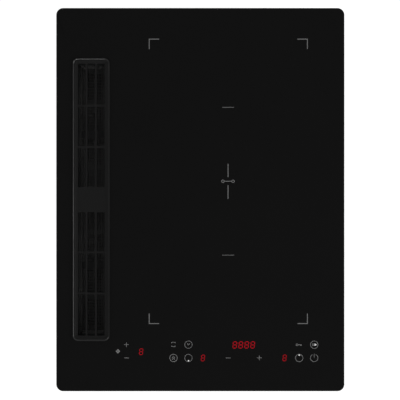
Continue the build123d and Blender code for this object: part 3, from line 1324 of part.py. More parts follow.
def heatsink():
    """Finned extrusion in line with the cooling fan."""
    x = ZONE_X + BOARD_W / 2 - 2 * BOARD_INSET - SINK_W / 2
    y = ZONE_Y - BOARD_L / 2 + BOARD_INSET + SINK_L / 2
    sink = slab(SINK_W, SINK_L, BOARD_TOP, BOARD_TOP + SINK_BASE, 0, x, y)
    for dx in spread(SINK_FINS, (SINK_W - SINK_FIN_T) / (SINK_FINS - 1)):
        sink += slab(SINK_FIN_T, SINK_L, BOARD_TOP, BOARD_TOP + SINK_H, 0, x + dx, y)
    return sink


def filter_capacitors():
    x = ZONE_X - BOARD_W / 2 + 3 * BOARD_INSET
    cans = []
    for y in spread(CAPACITORS, CAPACITOR_PITCH):
        can = rod(CAPACITOR_R, BOARD_TOP, BOARD_TOP + CAPACITOR_H, x, ZONE_Y + y)
        cans.append(fillet(can.faces().sort_by(Axis.Z)[-1].edges(), CAPACITOR_R / 8))
    return group(cans)


def mains_choke():
    x = ZONE_X - BOARD_W / 4
    y = ZONE_Y + BOARD_L / 2 - 2 * CHOKE_R
    ring = tube(CHOKE_R, CHOKE_HOLE_R, BOARD_TOP, BOARD_TOP + CHOKE_H, x, y)
    return fillet(ring.edges().filter_by(GeomType.CIRCLE), (CHOKE_R - CHOKE_HOLE_R) / 3)


def relays():
    y = ZONE_Y - BOARD_L / 2 + RELAY_L
    return group(
        slab(RELAY_W, RELAY_L, BOARD_TOP, BOARD_TOP + RELAY_H, RELAY_R, ZONE_X + x - BOARD_W / 4, y)
        for x in spread(2, RELAY_PITCH)
    )


def cooling_fan_frame():
    """Square fan frame with corner holes, and arms that carry the rotor's bearing."""
    frame = slab(FAN_SIZE, FAN_SIZE, COOLER_UNDER, COOLER_TOP, FAN_CORNER_R)
    frame -= hole(FAN_BORE_R, COOLER_UNDER, COOLER_TOP)
    arm_high = COOLER_UNDER + FAN_ARM_T
    arm_l = 2 * (FAN_BORE_R + FAN_BLADE_ROOT)
    frame += rod(FAN_HUB_R, COOLER_UNDER, arm_high)
    frame += slab(arm_l, FAN_ARM_W, COOLER_UNDER, arm_high)
    frame += slab(FAN_ARM_W, arm_l, COOLER_UNDER, arm_high)
    inset = FAN_SIZE / 2 - FAN_CORNER_R
    corners = [(a * inset, b * inset) for a in (-1, 1) for b in (-1, 1)]
    frame += [rod(FAN_CORNER_R, PAN_FLOOR, COOLER_UNDER, x, y) for x, y in corners]
    frame -= [hole(SCREW_R, PAN_FLOOR, COOLER_TOP, x, y) for x, y in corners]
    frame -= hole(FAN_AXLE_R + SHAFT_FIT, COOLER_UNDER, arm_high)
    return Pos(COOLER_X, COOLER_Y, 0) * frame


def cooling_rotor():
    """Hub with pitched blades on a short axle."""
    low = COOLER_UNDER + FAN_ARM_T + FAN_RUN_GAP
    high = COOLER_TOP - FAN_RUN_GAP
    tip_r = FAN_BORE_R - FAN_TIP_GAP
    root_r = FAN_HUB_R - FAN_BLADE_ROOT
    sweep = tube(tip_r, root_r, low, high)
    rotor = rod(FAN_HUB_R, low, high)
    rotor = fillet(rotor.faces().sort_by(Axis.Z)[-1].edges(), FAN_ARM_T / 2)
    blade_l = tip_r - root_r + FAN_BLADE_ROOT
    place = Pos(root_r + blade_l / 2, 0, (low + high) / 2) * Rot(FAN_BLADE_ANGLE, 0, 0)
    blade = place * Box(blade_l, FAN_BLADE_CHORD, FAN_BLADE_T) & sweep
    for i in range(FAN_BLADES):
        rotor += Rot(0, 0, i * 360 / FAN_BLADES) * blade
    rotor += rod(FAN_AXLE_R, COOLER_UNDER, low)
    return Pos(COOLER_X, COOLER_Y, 0) * rotor


# ---------------------------------------------------------------- touch control


def touch_board():
    return slab(TOUCH_W, TOUCH_D, TOUCH_UNDER, TOUCH_TOP, BOARD_R, TOUCH_X, TOUCH_Y)


def board_carrier():
    """Shallow moulded tray that holds the touch board up to the glass."""
    width = TOUCH_W + 2 * CARRIER_T
    depth = TOUCH_D + 2 * CARRIER_T
    low = TOUCH_UNDER - CARRIER_T
    high = TOUCH_UNDER + CARRIER_H
    tray = slab(width, depth, low, high, 2 * CARRIER_T, TOUCH_X, TOUCH_Y)
    return tray - slab(TOUCH_W, TOUCH_D, TOUCH_UNDER, high + PAST, CARRIER_T, TOUCH_X, TOUCH_Y)


def key_row(middle, right):
    """Places of one row of keys along the touch board: the fan key, the middle group and the right group."""
    return [TOUCH_X0 + FAN_KEY_PLACE] + [TOUCH_X + dx for dx in middle] + [TOUCH_X1 - dx for dx in right]


def key_springs():
    """Coil-spring electrodes under each touch key."""
    rows = [(x, TOUCH_ROW) for x in key_row(REAR_KEYS_MIDDLE, REAR_KEYS_RIGHT)]
    rows += [(x, -TOUCH_ROW) for x in key_row(FRONT_KEYS_MIDDLE, FRONT_KEYS_RIGHT)]
    return group(
        tube(KEY_PAD_R, KEY_PAD_R / 2, TOUCH_TOP, GLASS_UNDER, x, TOUCH_Y + dy) for x, dy in rows
    )


def digit_displays():
    """Seven-segment modules behind the glass: three single digits and one four-digit clock."""
    places = (TOUCH_X0 + FAN_DIGIT_PLACE, TOUCH_X + ZONE_DIGIT_MIDDLE, TOUCH_X1 - ZONE_DIGIT_RIGHT)
    singles = [slab(DIGIT_W, DIGIT_L, TOUCH_TOP, GLASS_UNDER, 0, x, TOUCH_Y) for x in places]
    clock_x = TOUCH_X + CLOCK_PLACE
    clock = slab(CLOCK_W, DIGIT_L, TOUCH_TOP, GLASS_UNDER, 0, clock_x, TOUCH_Y + TOUCH_ROW)
    return group(singles + [clock])


# ---------------------------------------------------------------- clips and terminal box


def clip_y_places():
    reach = PAN_D / 2 - CLIP_FROM_END
    return (-reach, reach)


def mounting_clips():
    """Leaf springs on both long sides: flat at the screw, then a bulge that grips the cut-out."""
    path = FilletPolyline(
        (CLIP_T / 2, 0),
        (CLIP_T / 2, -CLIP_STRAIGHT),
        (CLIP_BULGE, -CLIP_BULGE_DROP),
        (CLIP_T, -CLIP_TOE_DROP),
        (CLIP_TOE_OUT, -CLIP_LENGTH),
        radius=CLIP_BENDS,
    )
    profile = Plane.XZ * trace(path, CLIP_T)
    clips = []
    for y in clip_y_places():
        right = Pos(PAN_W / 2, y + CLIP_W / 2, -CLIP_TOP) * extrude(profile, CLIP_W)
        clips += [right, mirror(right, Plane.YZ)]
    return group(clips)


def cover_hinge_ears():
    """Two ears on the box's front wall, with a web up to the wall."""
    ear_x = COVER_KNUCKLE_W / 2 + COVER_END_GAP + EAR_W / 2
    web_start = COVER_AXIS_Y - COVER_KNUCKLE_R
    web_y = (web_start + TERMINAL_FRONT) / 2
    web_high = TERMINAL_UNDER + 3 * COVER_KNUCKLE_R
    ears = []
    for side in (-1, 1):
        x = TERMINAL_X + side * ear_x
        ear = rod_along_x(COVER_KNUCKLE_R, x - EAR_W / 2, x + EAR_W / 2, COVER_AXIS_Y, COVER_AXIS_Z)
        ear += slab(EAR_W, TERMINAL_FRONT - web_start, TERMINAL_UNDER, web_high, 0, x, web_y)
        ear += slab(EAR_W, 2 * COVER_KNUCKLE_R, COVER_AXIS_Z, TERMINAL_UNDER, 0, x, COVER_AXIS_Y)
        ears.append(ear)
    return ears


def terminal_box():
    """Box under the pan, open below and at the rear, with hinge ears in front."""
    body = slab(TERMINAL_W, TERMINAL_L, TERMINAL_UNDER, PAN_UNDER, TERMINAL_WALL, TERMINAL_X, TERMINAL_Y)
    inner_w = TERMINAL_W - 2 * TERMINAL_WALL
    inner_l = TERMINAL_L - 2 * TERMINAL_WALL
    body -= slab(inner_w, inner_l, TERMINAL_UNDER - PAST, TERMINAL_CEILING, 0, TERMINAL_X, TERMINAL_Y)
    low = TERMINAL_UNDER - PAST
    rear_y = TERMINAL_REAR - TERMINAL_WALL / 2
    body -= slab(2 * TERMINAL_W, TERMINAL_WALL, low, PAN_UNDER + PAST, 0, TERMINAL_X, rear_y)
    body -= hole(LEAD_HOLE_R, TERMINAL_CEILING, PAN_UNDER, TERMINAL_X, TERMINAL_Y)
    body += cover_hinge_ears()
    reach = TERMINAL_W / 2 + PAST
    return body - rod_along_x(COVER_PIN_R, TERMINAL_X - reach, TERMINAL_X + reach, COVER_AXIS_Y, COVER_AXIS_Z)


def gland_plate():
    """Rear wall of the terminal box: a separate plate that carries the cable gland."""
    start = TERMINAL_REAR - TERMINAL_WALL
    y = TERMINAL_REAR - TERMINAL_WALL / 2
    plate = slab(TERMINAL_W, TERMINAL_WALL, TERMINAL_UNDER, PAN_UNDER, 0, TERMINAL_X, y)
    opening = rear_plane(TERMINAL_X, start - PAST, GLAND_Z) * Circle(GLAND_R)
    return plate - extrude(opening, TERMINAL_WALL + 2 * PAST)


def terminal_cover():
    """Lid of the terminal box, which hangs down on its front hinge when opened."""
    high = TERMINAL_UNDER
    low = high - COVER_T
    lid = slab(TERMINAL_W, TERMINAL_L, low, high, TERMINAL_WALL, TERMINAL_X, TERMINAL_Y)
    grip_y = TERMINAL_REAR - EAR_W
    lid -= slab(TERMINAL_W / 2, EAR_W, low - PAST, low + COVER_T / 2, 0, TERMINAL_X, grip_y)
    start = TERMINAL_X - COVER_KNUCKLE_W / 2
    end = TERMINAL_X + COVER_KNUCKLE_W / 2
    lid += rod_along_x(COVER_KNUCKLE_R, start, end, COVER_AXIS_Y, COVER_AXIS_Z)
    tongue_l = TERMINAL_FRONT - COVER_AXIS_Y + TERMINAL_WALL
    lid += slab(COVER_KNUCKLE_W, tongue_l, low, high, 0, TERMINAL_X, COVER_AXIS_Y + tongue_l / 2)
    return lid - rod_along_x(COVER_PIN_R + COVER_FIT, start - PAST, end + PAST, COVER_AXIS_Y, COVER_AXIS_Z)


def cover_pin():
    reach = COVER_KNUCKLE_W / 2 + COVER_END_GAP + EAR_W
    return rod_along_x(COVER_PIN_R, TERMINAL_X - reach, TERMINAL_X + reach, COVER_AXIS_Y, COVER_AXIS_Z)


def terminal_block():
    """Row of clamps on the box's ceiling."""
    high = TERMINAL_CEILING
    low = high - TERMINAL_H / 2
    width = TERMINAL_W * TERMINAL_BLOCK_SHARE
    depth = TERMINAL_L / 4
    y = TERMINAL_FRONT + depth
    block = slab(width, depth, low, high, 0, TERMINAL_X, y)
    for dx in spread(TERMINAL_WAYS, width / TERMINAL_WAYS):
        block -= rod(SCREW_R, low - PAST, (low + high) / 2, TERMINAL_X + dx, y)
    return block


def cable_gland():
    """Gland in the gland plate: threaded sleeve, inner nut, outer hexagon and dome with a clear bore."""
    inside = TERMINAL_REAR - TERMINAL_WALL
    hexagon = RegularPolygon(GLAND_HEX / 2, 6)
    head_end = TERMINAL_REAR + GLAND_HEAD_L
    start = inside - GLAND_THREAD_L
    sleeve_l = GLAND_THREAD_L + TERMINAL_WALL
    bore_l = sleeve_l + GLAND_HEAD_L + GLAND_DOME_L + 2 * PAST
    gland = extrude(rear_plane(TERMINAL_X, start, GLAND_Z) * Circle(GLAND_R), sleeve_l)
    gland += extrude(rear_plane(TERMINAL_X, inside - GLAND_NUT_L, GLAND_Z) * hexagon, GLAND_NUT_L)
    gland += extrude(rear_plane(TERMINAL_X, TERMINAL_REAR, GLAND_Z) * hexagon, GLAND_HEAD_L)
    gland += extrude(rear_plane(TERMINAL_X, head_end, GLAND_Z) * Circle(GLAND_R), GLAND_DOME_L)
    return gland - extrude(rear_plane(TERMINAL_X, start - PAST, GLAND_Z) * Circle(GLAND_BORE_R), bore_l)


# ---------------------------------------------------------------- write every node

NODES = {
    "glass_top": glass_top,
    "worktop_seal": worktop_seal,
    "carrier_frame": carrier_frame,
    "base_pan": base_pan,
    "pan_screws": pan_screws,
    "well_gasket": well_gasket,
    "well_collar": well_collar,
    "well_trough": well_trough,
    "drip_tray": drip_tray,
    "filter_frame": filter_frame,
    "filter_panels": filter_panels,
    "filter_mesh": filter_mesh,
    "filter_handles": filter_handles,
    "intake_grille": intake_grille,
    "grille_pads": grille_pads,
    "chamber_gasket": chamber_gasket,
    "duct_gasket": duct_gasket,
    "chamber_housing": chamber_housing,
    "scroll_housing": scroll_housing,
    "housing_screws": housing_screws,
    "impeller": impeller,
    "impeller_shaft": impeller_shaft,
    "blower_motor": blower_motor,
    "motor_bearings": motor_bearings,
    "motor_grommets": motor_grommets,
    "motor_screws": motor_screws,
    "spigot_gasket": spigot_gasket,
    "outlet_spigot": outlet_spigot,
    "damper_flap": damper_flap,
    "damper_axle": damper_axle,
    "coil_front": lambda: coil_winding(-1),
    "coil_rear": lambda: coil_winding(1),
    "coil_former_front": lambda: coil_former(-1),
    "coil_former_rear": lambda: coil_former(1),
    "ferrite_bars": ferrite_bars,
    "coil_plate": coil_plate,
    "mica_sheets": mica_sheets,
    "temperature_sensors": temperature_sensors,
    "support_springs": support_springs,
    "power_board": power_board,
    "board_standoffs": board_standoffs,
    "heatsink": heatsink,
    "filter_capacitors": filter_capacitors,
    "mains_choke": mains_choke,
    "relays": relays,
    "cooling_fan_frame": cooling_fan_frame,
    "cooling_rotor": cooling_rotor,
    "touch_board": touch_board,
    "board_carrier": board_carrier,
    "key_springs": key_springs,
    "digit_displays": digit_displays,
    "mounting_clips": mounting_clips,
    "terminal_box": terminal_box,
    "gland_plate": gland_plate,
    "terminal_cover": terminal_cover,
    "cover_pin": cover_pin,
    "terminal_block": terminal_block,
    "cable_gland": cable_gland,
}

os.makedirs("parts", exist_ok=True)
for name, make in NODES.items():
    export_step(make(), f"parts/{name}.step")
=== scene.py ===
"""Downdraft induction cooktop: black glass plate, intake grille, and the housings below it."""

import json
import math

import bmesh
import bpy
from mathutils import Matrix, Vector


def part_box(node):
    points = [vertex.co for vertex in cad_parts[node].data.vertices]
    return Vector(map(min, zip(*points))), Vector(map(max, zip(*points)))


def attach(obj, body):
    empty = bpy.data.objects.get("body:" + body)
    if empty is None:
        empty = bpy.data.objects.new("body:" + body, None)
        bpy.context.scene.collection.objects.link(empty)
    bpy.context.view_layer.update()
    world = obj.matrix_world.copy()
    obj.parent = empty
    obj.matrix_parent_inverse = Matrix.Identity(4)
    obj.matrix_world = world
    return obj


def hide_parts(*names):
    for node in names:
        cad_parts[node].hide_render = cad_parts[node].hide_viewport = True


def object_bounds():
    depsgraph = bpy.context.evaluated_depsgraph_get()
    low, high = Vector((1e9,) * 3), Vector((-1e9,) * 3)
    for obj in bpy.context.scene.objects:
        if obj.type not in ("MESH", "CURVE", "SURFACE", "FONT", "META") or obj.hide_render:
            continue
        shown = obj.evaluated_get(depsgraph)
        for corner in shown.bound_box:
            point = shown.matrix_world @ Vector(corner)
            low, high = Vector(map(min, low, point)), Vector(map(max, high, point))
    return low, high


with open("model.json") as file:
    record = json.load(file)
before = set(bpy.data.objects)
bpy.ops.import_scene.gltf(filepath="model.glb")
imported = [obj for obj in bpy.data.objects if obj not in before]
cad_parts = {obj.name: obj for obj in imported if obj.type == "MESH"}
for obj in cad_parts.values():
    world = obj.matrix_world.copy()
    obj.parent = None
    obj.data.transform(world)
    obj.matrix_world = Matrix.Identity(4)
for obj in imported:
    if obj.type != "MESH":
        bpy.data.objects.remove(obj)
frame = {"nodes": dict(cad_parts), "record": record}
CAD_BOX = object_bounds()
NODES = frame["nodes"]

MM = 0.001

# Millimetres, in the frame of the CAD: x to the right, y to the rear, z up from the worktop.
GLASS_TOP = 5.5
WELL_X = -148.1
INK_T = 0.03
FLOOR_GAP = 0.4
# Corners closer than this, in metres, count as level.
LEVEL = 2e-6
# The filter's foil is painted darker above the first of these heights and paler below the second:
# painted light, paler deep down where little light reaches.
NET_DARK_FROM_Z, NET_PALE_FROM_Z = -38, -56


# ---------------------------------------------------------------- modelling by hand, in code


def alone(piece):
    """Leave everything else unselected and make the piece the active one."""
    bpy.ops.object.select_all(action="DESELECT")
    piece.select_set(True)
    bpy.context.view_layer.objects.active = piece


def named(name):
    """Name the primitive that was just added and put its place and size in its mesh."""
    piece = bpy.context.active_object
    piece.name = name
    piece.data.name = name
    alone(piece)
    bpy.ops.object.transform_apply(location=True, rotation=True, scale=True)
    return piece


def block(name, low, high):
    """A box between two corners in millimetres."""
    bpy.ops.object.select_all(action="DESELECT")
    middle = [(a + b) / 2 * MM for a, b in zip(low, high)]
    bpy.ops.mesh.primitive_cube_add(size=1.0, location=middle)
    bpy.context.active_object.scale = [(b - a) * MM for a, b in zip(low, high)]
    return named(name)


def disc(name, radius, low, high, sides=48, turn=0.0):
    """A round or many-sided bar on the z axis, between two heights in millimetres."""
    bpy.ops.object.select_all(action="DESELECT")
    bpy.ops.mesh.primitive_cylinder_add(
        vertices=sides,
        radius=radius * MM,
        depth=(high - low) * MM,
        location=(0, 0, (low + high) / 2 * MM),
        rotation=(0, 0, math.radians(turn)),
    )
    return named(name)


def choose(piece, kind, test):
    """Go into edit mode with only the faces, edges or corners selected that pass the test."""
    alone(piece)
    bpy.ops.object.mode_set(mode="EDIT")
    bpy.ops.mesh.select_mode(type=kind)
    bpy.ops.mesh.select_all(action="DESELECT")
    shape = bmesh.from_edit_mesh(piece.data)
    parts = {"VERT": shape.verts, "EDGE": shape.edges, "FACE": shape.faces}[kind]
    for part in parts:
        if test(part):
            part.select_set(True)
    shape.select_flush_mode()
    bmesh.update_edit_mesh(piece.data)


def leave():
    """Back to object mode."""
    bpy.ops.object.mode_set(mode="OBJECT")


def upright(edge):
    """Whether an edge stands along z."""
    a, b = (corner.co for corner in edge.verts)
    return max(abs(a.x - b.x), abs(a.y - b.y)) < LEVEL / 2


def level_at(height):
    """A test for edges that lie at one height in millimetres."""
    return lambda edge: all(
        abs(corner.co.z - height * MM) < LEVEL for corner in edge.verts
    )


def every(part):
    """A test that holds for every face, edge or corner."""
    return True


def facing_down(face):
    """Whether a face looks straight down."""
    return face.normal.z < -0.9


def facing_up_at(height):
    """A test for faces that lie at one height in millimetres and look up."""
    return lambda face: (
        face.normal.z > 0.9 and abs(face.calc_center_median().z - height * MM) < LEVEL
    )


def round_edges(piece, test, radius, steps):
    """Round the edges for which the test holds."""
    choose(piece, "EDGE", test)
    bpy.ops.mesh.bevel(offset=radius * MM, segments=steps, affect="EDGES")
    leave()


def extrude(height):
    """Extrude what is selected up by millimetres, or down where the height is negative."""
    bpy.ops.mesh.extrude_region_move(
        TRANSFORM_OT_translate={"value": (0, 0, height * MM)}
    )


def face_outwards():
    """Turn every face of the piece in edit mode outwards, and leave edit mode."""
    bpy.ops.mesh.select_all(action="SELECT")
    bpy.ops.mesh.normals_make_consistent(inside=False)
    leave()


def shape_with(piece, kind, **settings):
    """Add a modifier with its settings and apply it."""
    alone(piece)
    made = piece.modifiers.new(kind.lower(), kind)
    for name, value in settings.items():
        setattr(made, name, value)
    bpy.ops.object.modifier_apply(modifier=made.name)


def soften_edges(piece, radius, steps, angle):
    """Round every edge that is sharper than an angle in degrees."""
    shape_with(
        piece,
        "BEVEL",
        width=radius * MM,
        segments=steps,
        limit_method="ANGLE",
        angle_limit=math.radians(angle),
    )


def cut(piece, tool, operation="DIFFERENCE"):
    """Take a tool's shape out of a piece, or add it, and throw the tool away."""
    shape_with(piece, "BOOLEAN", object=tool, operation=operation, solver="EXACT")
    bpy.data.objects.remove(tool)


def copied(piece, name, shift, turn=(0, 0, 0)):
    """A copy with its own mesh, turned by degrees and then moved by millimetres."""
    twin = piece.copy()
    twin.data = piece.data.copy()
    twin.name = name
    bpy.context.collection.objects.link(twin)
    twin.rotation_euler = [math.radians(angle) for angle in turn]
    twin.location = [step * MM for step in shift]
    alone(twin)
    bpy.ops.object.transform_apply(location=True, rotation=True, scale=True)
    return twin


def joined(pieces, name):
    """Several pieces as one mesh."""
    bpy.ops.object.select_all(action="DESELECT")
    for piece in pieces:
        piece.select_set(True)
    bpy.context.view_layer.objects.active = pieces[0]
    bpy.ops.object.join()
    pieces[0].name = name
    return pieces[0]


def settle(piece, body, material, replaces=(), angle=30):
    """Finish a piece: shading, finish, the body it rides on, and what it stands for."""
    alone(piece)
    bpy.ops.object.shade_smooth_by_angle(angle=math.radians(angle))
    shape_with(piece, "WEIGHTED_NORMAL", keep_sharp=True)
    piece.data.materials.clear()
    piece.data.materials.append(material)
    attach(piece, body)
    if replaces:
        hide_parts(*replaces)
    return piece


# ---------------------------------------------------------------- finishes


def tint(text):
    """An sRGB hex colour as the linear colour that a shader takes."""
    parts = [int(text[place : place + 2], 16) / 255 for place in (1, 3, 5)]
    return [
        part / 12.92 if part <= 0.04045 else ((part + 0.055) / 1.055) ** 2.4
        for part in parts
    ] + [1.0]


def add(tree, kind, settings=None, links=None):
    """Add one shader node with its settings and links. Stops are a ramp's places and colours."""
    node = tree.nodes.new("ShaderNode" + kind)
    for name, value in (settings or {}).items():
        if name == "stops":
            ramp = node.color_ramp.elements
            while len(ramp) < len(value):
                ramp.new(0.5)
            for stop, (place, shade) in zip(ramp, value):
                stop.position = place
                stop.color = shade
        elif isinstance(name, int) or name in node.inputs:
            node.inputs[name].default_value = value
        else:
            setattr(node, name, value)
    for name, source in (links or {}).items():
        tree.links.new(source, node.inputs[name])
    return node


def per(size):
    """A pattern scale that repeats every so many millimetres."""
    return 1 / (size * MM)


def begin(name, **constants):
    """A new material: node tree, shader with its constants set, and the place on the object."""
    made = bpy.data.materials.new(name)
    made.use_nodes = True
    tree = made.node_tree
    shader = tree.nodes["Principled BSDF"]
    for socket, value in constants.items():
        shader.inputs[socket.replace("_", " ")].default_value = value
    place = add(tree, "TexCoord").outputs["Object"]
    return made, tree, shader, place


def lay(tree, shader, pattern, dark, light, low, high, relief=None, depth=0.0):
    """Lead a pattern from 0 to 1 into colour and roughness, and a relief in mm into the normal."""
    mix = add(
        tree,
        "Mix",
        {"data_type": "RGBA", 6: tint(dark), 7: tint(light)},
        {0: pattern},
    )
    tree.links.new(mix.outputs[2], shader.inputs["Base Color"])
    gloss = add(tree, "MapRange", {"To Min": low, "To Max": high}, {"Value": pattern})
    tree.links.new(gloss.outputs[0], shader.inputs["Roughness"])
    if depth:
        bump = add(
            tree,
            "Bump",
            {"Strength": 1.0, "Distance": depth * MM},
            {"Height": relief or pattern},
        )
        tree.links.new(bump.outputs[0], shader.inputs["Normal"])


def moulded(name, dark, light, low, high, grain=0.9, depth=0.03):
    """Moulded plastic, or a dipped coat: a fine grain in the skin, and flow shading over 45 mm."""
    made, tree, shader, place = begin(name, IOR=1.5)
    flow = add(tree, "TexNoise", {"Scale": per(45), "Detail": 3.0}, {"Vector": place})
    erosion = add(tree, "TexNoise", {"Scale": per(grain), "Detail": 2.0}, {"Vector": place})
    lay(tree, shader, flow.outputs[0], dark, light, low, high, erosion.outputs[0], depth)
    return made


def coated(name, dark, light, low, high, peel=1.6, depth=0.02):
    """Powder coat or baked enamel on metal: a soft orange peel, and a slightly wandering tone."""
    made, tree, shader, place = begin(name, IOR=1.5)
    drift = add(tree, "TexNoise", {"Scale": per(60), "Detail": 2.0}, {"Vector": place})
    skin = add(tree, "TexVoronoi", {"Scale": per(peel)}, {"Vector": place})
    lay(tree, shader, drift.outputs[0], dark, light, low, high, skin.outputs["Distance"], depth)
    return made


def drawn(name, dark, light, low, high, pitch, stretch, depth=0.004):
    """Rolled, drawn or ground metal: fine lines along one axis, from the rolls or the wheel."""
    made, tree, shader, place = begin(name, Metallic=1.0)
    along = add(tree, "Mapping", {"Scale": stretch}, {"Vector": place})
    lines = add(
        tree,
        "TexNoise",
        {"Scale": per(pitch), "Detail": 4.0, "Roughness": 0.65},
        {"Vector": along.outputs[0]},
    )
    lay(tree, shader, lines.outputs[0], dark, light, low, high, depth=depth)
    return made


def rubbery(name, dark, light, low, high, cell, depth):
    """Foam, rubber, ferrite or bare ceramic: cells or grains in the skin, and hardly any gloss."""
    made, tree, shader, place = begin(name, IOR=1.45)
    skin = add(tree, "TexVoronoi", {"Scale": per(cell)}, {"Vector": place})
    lay(tree, shader, skin.outputs["Distance"], dark, light, low, high, depth=depth)
    return made


def glass_ceramic():
    """Glass-ceramic, dyed through and fire-polished: near black, mirror smooth, slightly uneven."""
    made, tree, shader, place = begin("polished_black_glass_ceramic", IOR=1.52)
    wipe = add(tree, "TexNoise", {"Scale": per(70), "Detail": 5.0}, {"Vector": place})
    lay(tree, shader, wipe.outputs[0], "#0B0B0B", "#0D0D0D", 0.045, 0.07)
    return made


def printed_enamel(name, dark, light):
    """Ceramic ink, screen printed and fired: dry, with the raster of the screen at 0.5 mm."""
    made, tree, shader, place = begin(name, IOR=1.5)
    raster = add(tree, "TexVoronoi", {"Scale": per(0.5)}, {"Vector": place})
    lay(tree, shader, raster.outputs["Distance"], light, dark, 0.5, 0.7)
    return made


def lit_segment():
    """A red light-emitting segment behind the dark glass: its glow varies a little over 2.5 mm."""
    made, tree, shader, place = begin("lit_red_segment", IOR=1.5, Specular_IOR_Level=0.2)
    glow = add(tree, "TexNoise", {"Scale": per(2.5), "Detail": 1.0}, {"Vector": place})
    lay(tree, shader, glow.outputs[0], "#300104", "#400206", 0.3, 0.4)
    light = add(
        tree,
        "Mix",
        {"data_type": "RGBA", 6: tint("#9C0010"), 7: tint("#B20418")},
        {0: glow.outputs[0]},
    )
    tree.links.new(light.outputs[2], shader.inputs["Emission Color"])
    shader.inputs["Emission Strength"].default_value = 1.0
    return made


def cast_black_coat():
    """Cast alloy under a fine matt black coat: a dry, slightly sanded skin of almost one tone."""
    made, tree, shader, place = begin(
        "cast_grille_matt_black_coat", IOR=1.5, Specular_IOR_Level=0.34
    )
    sand = add(tree, "TexNoise", {"Scale": per(0.7), "Detail": 2.0}, {"Vector": place})
    drift = add(tree, "TexNoise", {"Scale": per(35), "Detail": 3.0}, {"Vector": place})
    skin = sand.outputs[0]
    lay(tree, shader, drift.outputs[0], "#131313", "#161616", 0.3, 0.37, skin, 0.012)
    return made


def spangled_zinc():
    """Hot-dip galvanised sheet: zinc crystals some 4 mm across, each with its own grey."""
    made, tree, shader, place = begin("hot_dip_galvanised_sheet", Metallic=1.0)
    warp = add(tree, "TexNoise", {"Scale": per(6), "Detail": 2.0}, {"Vector": place})
    bent = add(
        tree,
        "Mix",
        {"data_type": "VECTOR", 0: 0.004},
        {4: place, 5: warp.outputs[1]},
    )
    crystals = add(tree, "TexVoronoi", {"Scale": per(4)}, {"Vector": bent.outputs[1]})
    shade = add(tree, "SeparateColor", None, {0: crystals.outputs["Color"]})
    lay(tree, shader, shade.outputs[0], "#A9ADAF", "#BEC1C3", 0.36, 0.48, depth=0.008)
    return made


def litz_winding():
    """Enamelled copper litz: many strands twisted together, amber copper with dark gaps."""
    made, tree, shader, place = begin("enamelled_copper_litz", Metallic=1.0)
    strands = add(
        tree,
        "TexWave",
        {"Scale": per(9), "Distortion": 2.0, "Detail": 2.0},
        {"Vector": place},
    )
    lay(tree, shader, strands.outputs[1], "#8A4A26", "#C98253", 0.3, 0.45, depth=0.2)
    return made


def etched_board():
    """Glass-cloth laminate under green solder mask: copper tracks 1.3 mm apart show paler."""
    made, tree, shader, place = begin("green_solder_masked_laminate", IOR=1.5)
    tracks = add(
        tree,
        "TexBrick",
        {
            "Scale": per(26),
            "Brick Width": 0.7,
            "Row Height": 0.05,
            "Mortar Size": 0.008,
            "Color1": (0, 0, 0, 1),
            "Color2": (0.12, 0.12, 0.12, 1),
            "Mortar": (1, 1, 1, 1),
        },
        {"Vector": place},
    )
    lay(tree, shader, tracks.outputs[0], "#14482C", "#2E7A4A", 0.4, 0.3, depth=0.03)
    return made


def crinkled_mesh():
    """Expanded aluminium foil, matt and crinkled: painted light, darker near the slots and paler
    deep below, where little light reaches.
    """
    made, tree, shader, place = begin(
        "expanded_aluminium_painted_depth_light", Metallic=0.2, Specular_IOR_Level=0.3
    )
    foil = add(tree, "TexNoise", {"Scale": per(1.2), "Detail": 3.0}, {"Vector": place})
    crinkle = foil.outputs[0]
    height = add(tree, "SeparateXYZ", None, {0: place})
    # Painted light: the colour runs from dark near the slots to pale deep below, where little light
    # reaches.
    depth_light = add(
        tree,
        "MapRange",
        {"From Min": NET_DARK_FROM_Z * MM, "From Max": NET_PALE_FROM_Z * MM, "To Min": 0.07, "To Max": 0.36},
        {"Value": height.outputs[2]},
    )
    both = add(
        tree,
        "Math",
        {"operation": "MULTIPLY_ADD", 1: 0.2, "use_clamp": True},
        {0: crinkle, 2: depth_light.outputs[0]},
    )
    lay(tree, shader, both.outputs[0], "#303030", "#8E8D8C", 0.75, 0.9, crinkle, 0.01)
    return made


def pressed_mica():
    """Pressed mica sheet: pale amber flakes a few millimetres across, some of them silvery."""
    made, tree, shader, place = begin("pressed_mica_sheet", IOR=1.58)
    flakes = add(tree, "TexVoronoi", {"Scale": per(3)}, {"Vector": place})
    shade = add(tree, "SeparateColor", None, {0: flakes.outputs["Color"]})
    lay(tree, shader, shade.outputs[0], "#9C8B68", "#C9BA95", 0.35, 0.6, depth=0.02)
    return made


